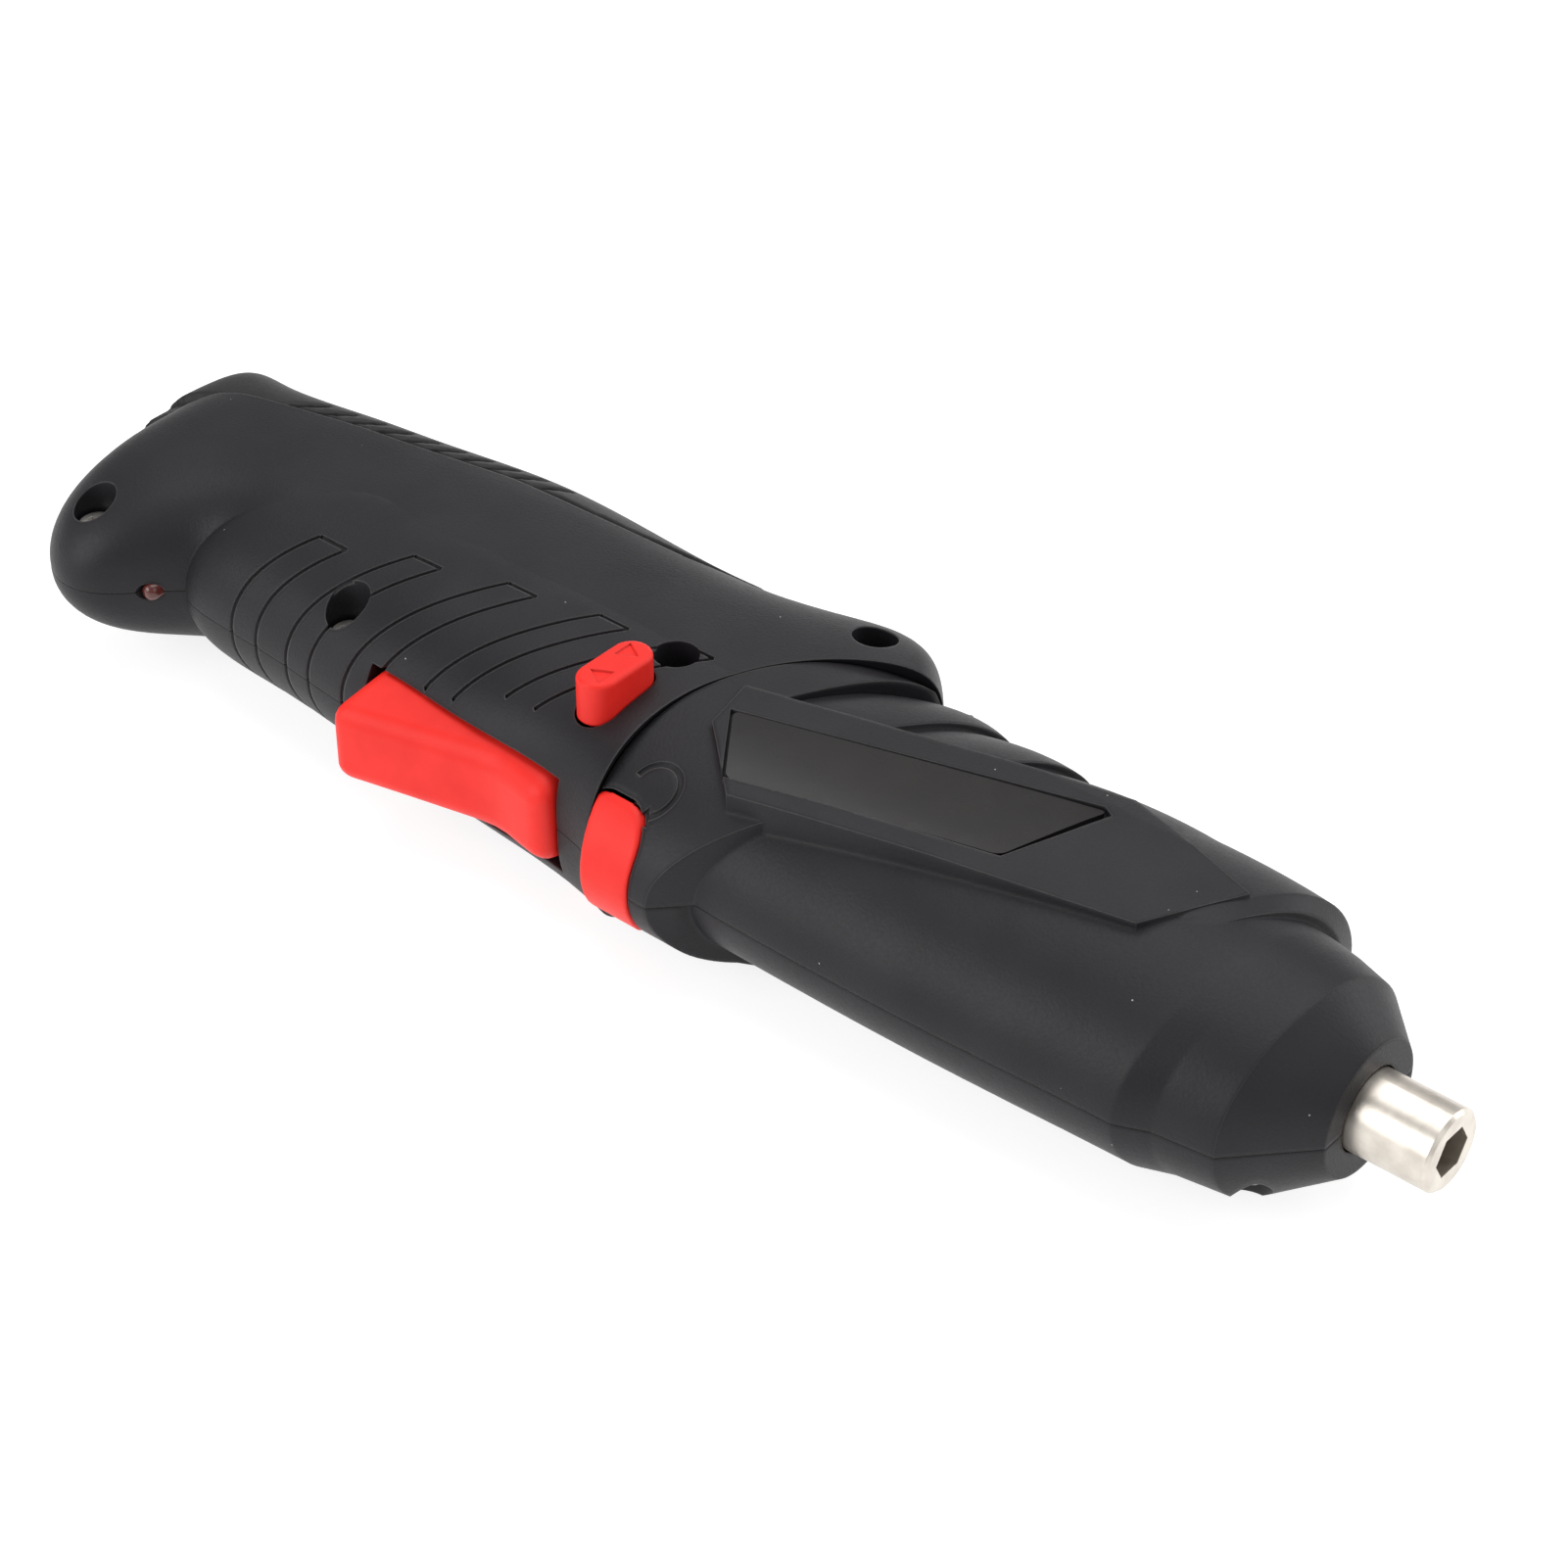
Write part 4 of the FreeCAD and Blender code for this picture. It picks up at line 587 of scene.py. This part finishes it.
def finger_trigger(red):
    """Red trigger: a block cut into columns that follow its plan, tapered to its face and well
    rounded."""
    plan = [(x * MM, y * MM) for x, y in TRIGGER_PLAN]
    deepest = min(y for x, y in plan)
    bpy.ops.object.select_all(action="DESELECT")
    bpy.ops.mesh.primitive_cube_add(
        size=1.0,
        location=((TRIGGER_TAIL + TRIGGER_END) / 2, (TRIGGER_BACK + deepest) / 2, PARTING_HEIGHT),
        scale=(TRIGGER_END - TRIGGER_TAIL, TRIGGER_BACK - deepest, 2 * TRIGGER_HALF_HEIGHT))
    trigger = new_piece("finger_trigger")
    bpy.ops.object.mode_set(mode="EDIT")
    for x, y in plan[1:-1]:
        bpy.ops.mesh.select_all(action="SELECT")
        bpy.ops.mesh.bisect(plane_co=(x, 0, 0), plane_no=(1, 0, 0))
    bpy.ops.mesh.select_all(action="SELECT")
    bpy.ops.mesh.bisect(plane_co=(0, TRIGGER_SHOULDER, 0), plane_no=(0, 1, 0))
    for x, y in plan:
        select_points(trigger, lambda co: abs(co.x - x) < WELD and co.y < deepest + WELD)
        bpy.ops.transform.translate(value=(0, y - deepest, 0))
        bpy.ops.transform.resize(value=(1, 1, TRIGGER_FACE_TAPER),
                                 center_override=(x, y, PARTING_HEIGHT))
    bpy.ops.object.mode_set(mode="OBJECT")
    rounding = trigger.modifiers.new("rounding", "BEVEL")
    rounding.width = TRIGGER_ROUND
    rounding.segments = TRIGGER_ROUND_STEPS
    rounding.limit_method = "ANGLE"
    rounding.angle_limit = TRIGGER_ROUND_ANGLE
    bpy.ops.object.modifier_apply(modifier=rounding.name)
    bpy.ops.object.shade_smooth()
    flats = trigger.modifiers.new("flats", "WEIGHTED_NORMAL")
    bpy.ops.object.modifier_apply(modifier=flats.name)
    finish_piece(trigger, red, "trigger", "trigger")


def lock_push_button(red):
    """Red lock button with softened edges, pushed a little out of the hub."""
    lock = welded_copy("lock_push_button", "lock_button")
    even_grid(lock, LOCK_VOXEL)
    select_points(lock, lambda co: co.y < LOCK_OUTER_FACE)
    bpy.ops.transform.translate(value=(0, -LOCK_PROUD, 0))
    bpy.ops.object.mode_set(mode="OBJECT")
    soften(lock, LOCK_SOFTEN_PASSES)
    finish_piece(lock, red, "lock", "lock_button")


def coil_lock_spring(steel):
    """Spring behind the lock button: a smooth-shaded copy of the CAD spring, left where it
    stands."""
    spring = welded_copy("coil_lock_spring", "lock_spring")
    bpy.ops.object.shade_smooth_by_angle(angle=SPRING_SMOOTH_ANGLE)
    coat(spring, steel)
    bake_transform(spring)
    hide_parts("lock_spring")


def label_trim():
    """Upright form over the label's outline, with rounded corners."""
    low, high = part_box("label_window")
    bpy.ops.object.select_all(action="DESELECT")
    bpy.ops.mesh.primitive_circle_add(
        vertices=len(LABEL_OUTLINE), radius=LABEL_TRIM_RADIUS, fill_type="NGON",
        location=((low[0] + high[0]) / 2, (low[1] + high[1]) / 2, LABEL_TRIM_BOTTOM))
    trim = new_piece()
    places = [point.co.copy() for point in trim.data.vertices]
    for place, (x, y) in zip(places, LABEL_OUTLINE):
        select_points(trim, lambda co: (co - place).length < WELD)
        bpy.ops.transform.translate(value=(x * MM - place.x, y * MM - place.y, 0))
    bpy.ops.mesh.select_all(action="SELECT")
    bpy.ops.mesh.extrude_region_move(TRANSFORM_OT_translate={"value": (0, 0, LABEL_TRIM_HEIGHT)})
    bpy.ops.mesh.select_all(action="SELECT")
    bpy.ops.mesh.normals_make_consistent(inside=False)
    bpy.ops.mesh.select_mode(type="EDGE")
    bpy.ops.mesh.select_all(action="DESELECT")
    bpy.ops.object.mode_set(mode="OBJECT")
    heights = [point.co.z for point in trim.data.vertices]
    for edge in trim.data.edges:
        one, other = edge.vertices
        edge.select = abs(heights[one] - heights[other]) > LABEL_TRIM_HEIGHT / 2
    bpy.ops.object.mode_set(mode="EDIT")
    bpy.ops.mesh.bevel(offset=LABEL_CORNER, segments=LABEL_CORNER_STEPS, affect="EDGES")
    bpy.ops.object.mode_set(mode="OBJECT")
    return trim


def glossy_label():
    """Bare window in the raised plate: the CAD window trimmed to an outline with rounded
    corners."""
    label = welded_copy("glossy_label", "label_window")
    trim = label_trim()
    take(label)
    outline = label.modifiers.new("outline", "BOOLEAN")
    outline.operation = "INTERSECT"
    outline.solver = "EXACT"
    outline.object = trim
    bpy.ops.object.modifier_apply(modifier=outline.name)
    bpy.data.objects.remove(trim)
    bpy.ops.object.shade_smooth_by_angle(angle=LABEL_SMOOTH_ANGLE)
    finish_piece(label, label_gloss(), "barrel", "label_window")


def charge_lamp_lens():
    """Lens of the charge lamp, with a dome in its hole in the butt."""
    bpy.ops.object.select_all(action="DESELECT")
    bpy.ops.mesh.primitive_cylinder_add(
        vertices=LAMP_SIDES, radius=LAMP_RADIUS, depth=LAMP_ROOT - LAMP_DOME_START,
        location=(LAMP_X, (LAMP_ROOT + LAMP_DOME_START) / 2, PARTING_HEIGHT),
        rotation=(math.radians(90), 0, 0))
    lens = new_piece("charge_lamp_lens")
    front = LAMP_DOME_START
    for rise, share in LAMP_DOME_STEPS:
        select_points(lens, lambda co: co.y < front + WELD)
        bpy.ops.mesh.extrude_region_move(TRANSFORM_OT_translate={"value": (0, -rise * MM, 0)})
        front -= rise * MM
        bpy.ops.transform.resize(value=(share, 1, share),
                                 center_override=(LAMP_X, front, PARTING_HEIGHT))
    bpy.ops.object.mode_set(mode="OBJECT")
    bpy.ops.object.shade_smooth_by_angle(angle=LAMP_SMOOTH_ANGLE)
    finish_piece(lens, lamp_lens(), "handle", "charge_led")


def build_floor():
    """Pale seamless floor under the tool."""
    bpy.ops.mesh.primitive_plane_add(size=FLOOR_SIZE)
    floor = bpy.context.object
    floor.name = "floor"
    floor.data.materials.append(light_table())


def softbox(name, place, size, power):
    """Round area light at its place, aimed at the tool."""
    light = bpy.data.lights.new(name, "AREA")
    light.shape = "DISK"
    light.size = size
    light.energy = power
    lamp = bpy.data.objects.new(name, light)
    lamp.location = place
    lamp.rotation_euler = (Vector(LIGHT_AIM) - Vector(place)).to_track_quat("-Z", "Y").to_euler()
    bpy.context.scene.collection.objects.link(lamp)


def build_light():
    """Softboxes round the tool in an even white world."""
    for name, place, size, power in SOFTBOXES:
        softbox(name, place, size, power)
    world = bpy.data.worlds.new("studio")
    world.use_nodes = True
    background = world.node_tree.nodes["Background"]
    background.inputs["Color"].default_value = WHITE
    background.inputs["Strength"].default_value = WORLD_STRENGTH
    bpy.context.scene.world = world
    bpy.context.scene.view_settings.view_transform = "Standard"


def build_camera():
    """The photograph's camera, solved from the tool's own edges."""
    azimuth = math.radians(CAMERA_AZIMUTH)
    elevation = math.radians(CAMERA_ELEVATION)
    back = Vector((math.sin(azimuth) * math.cos(elevation),
                   -math.cos(azimuth) * math.cos(elevation),
                   math.sin(elevation)))
    data = bpy.data.cameras.new("camera")
    data.sensor_width = SENSOR_WIDTH
    data.lens = FOCAL_PIXELS / IMAGE_PIXELS * SENSOR_WIDTH
    data.clip_start = CAMERA_CLIP_START
    camera = bpy.data.objects.new("camera", data)
    camera.location = CAMERA_TARGET + back * CAMERA_DISTANCE
    camera.rotation_euler = (-back).to_track_quat("-Z", "Y").to_euler()
    bpy.context.scene.collection.objects.link(camera)
    bpy.context.scene.camera = camera


controls_red = red_plastic()
zinc_steel = turned_metal(*ZINC_STEEL)
dress_nodes(controls_red, zinc_steel)
rubber_back_pad()
finger_trigger(controls_red)
lock_push_button(controls_red)
coil_lock_spring(zinc_steel)
glossy_label()
charge_lamp_lens()
build_floor()
build_light()
build_camera()
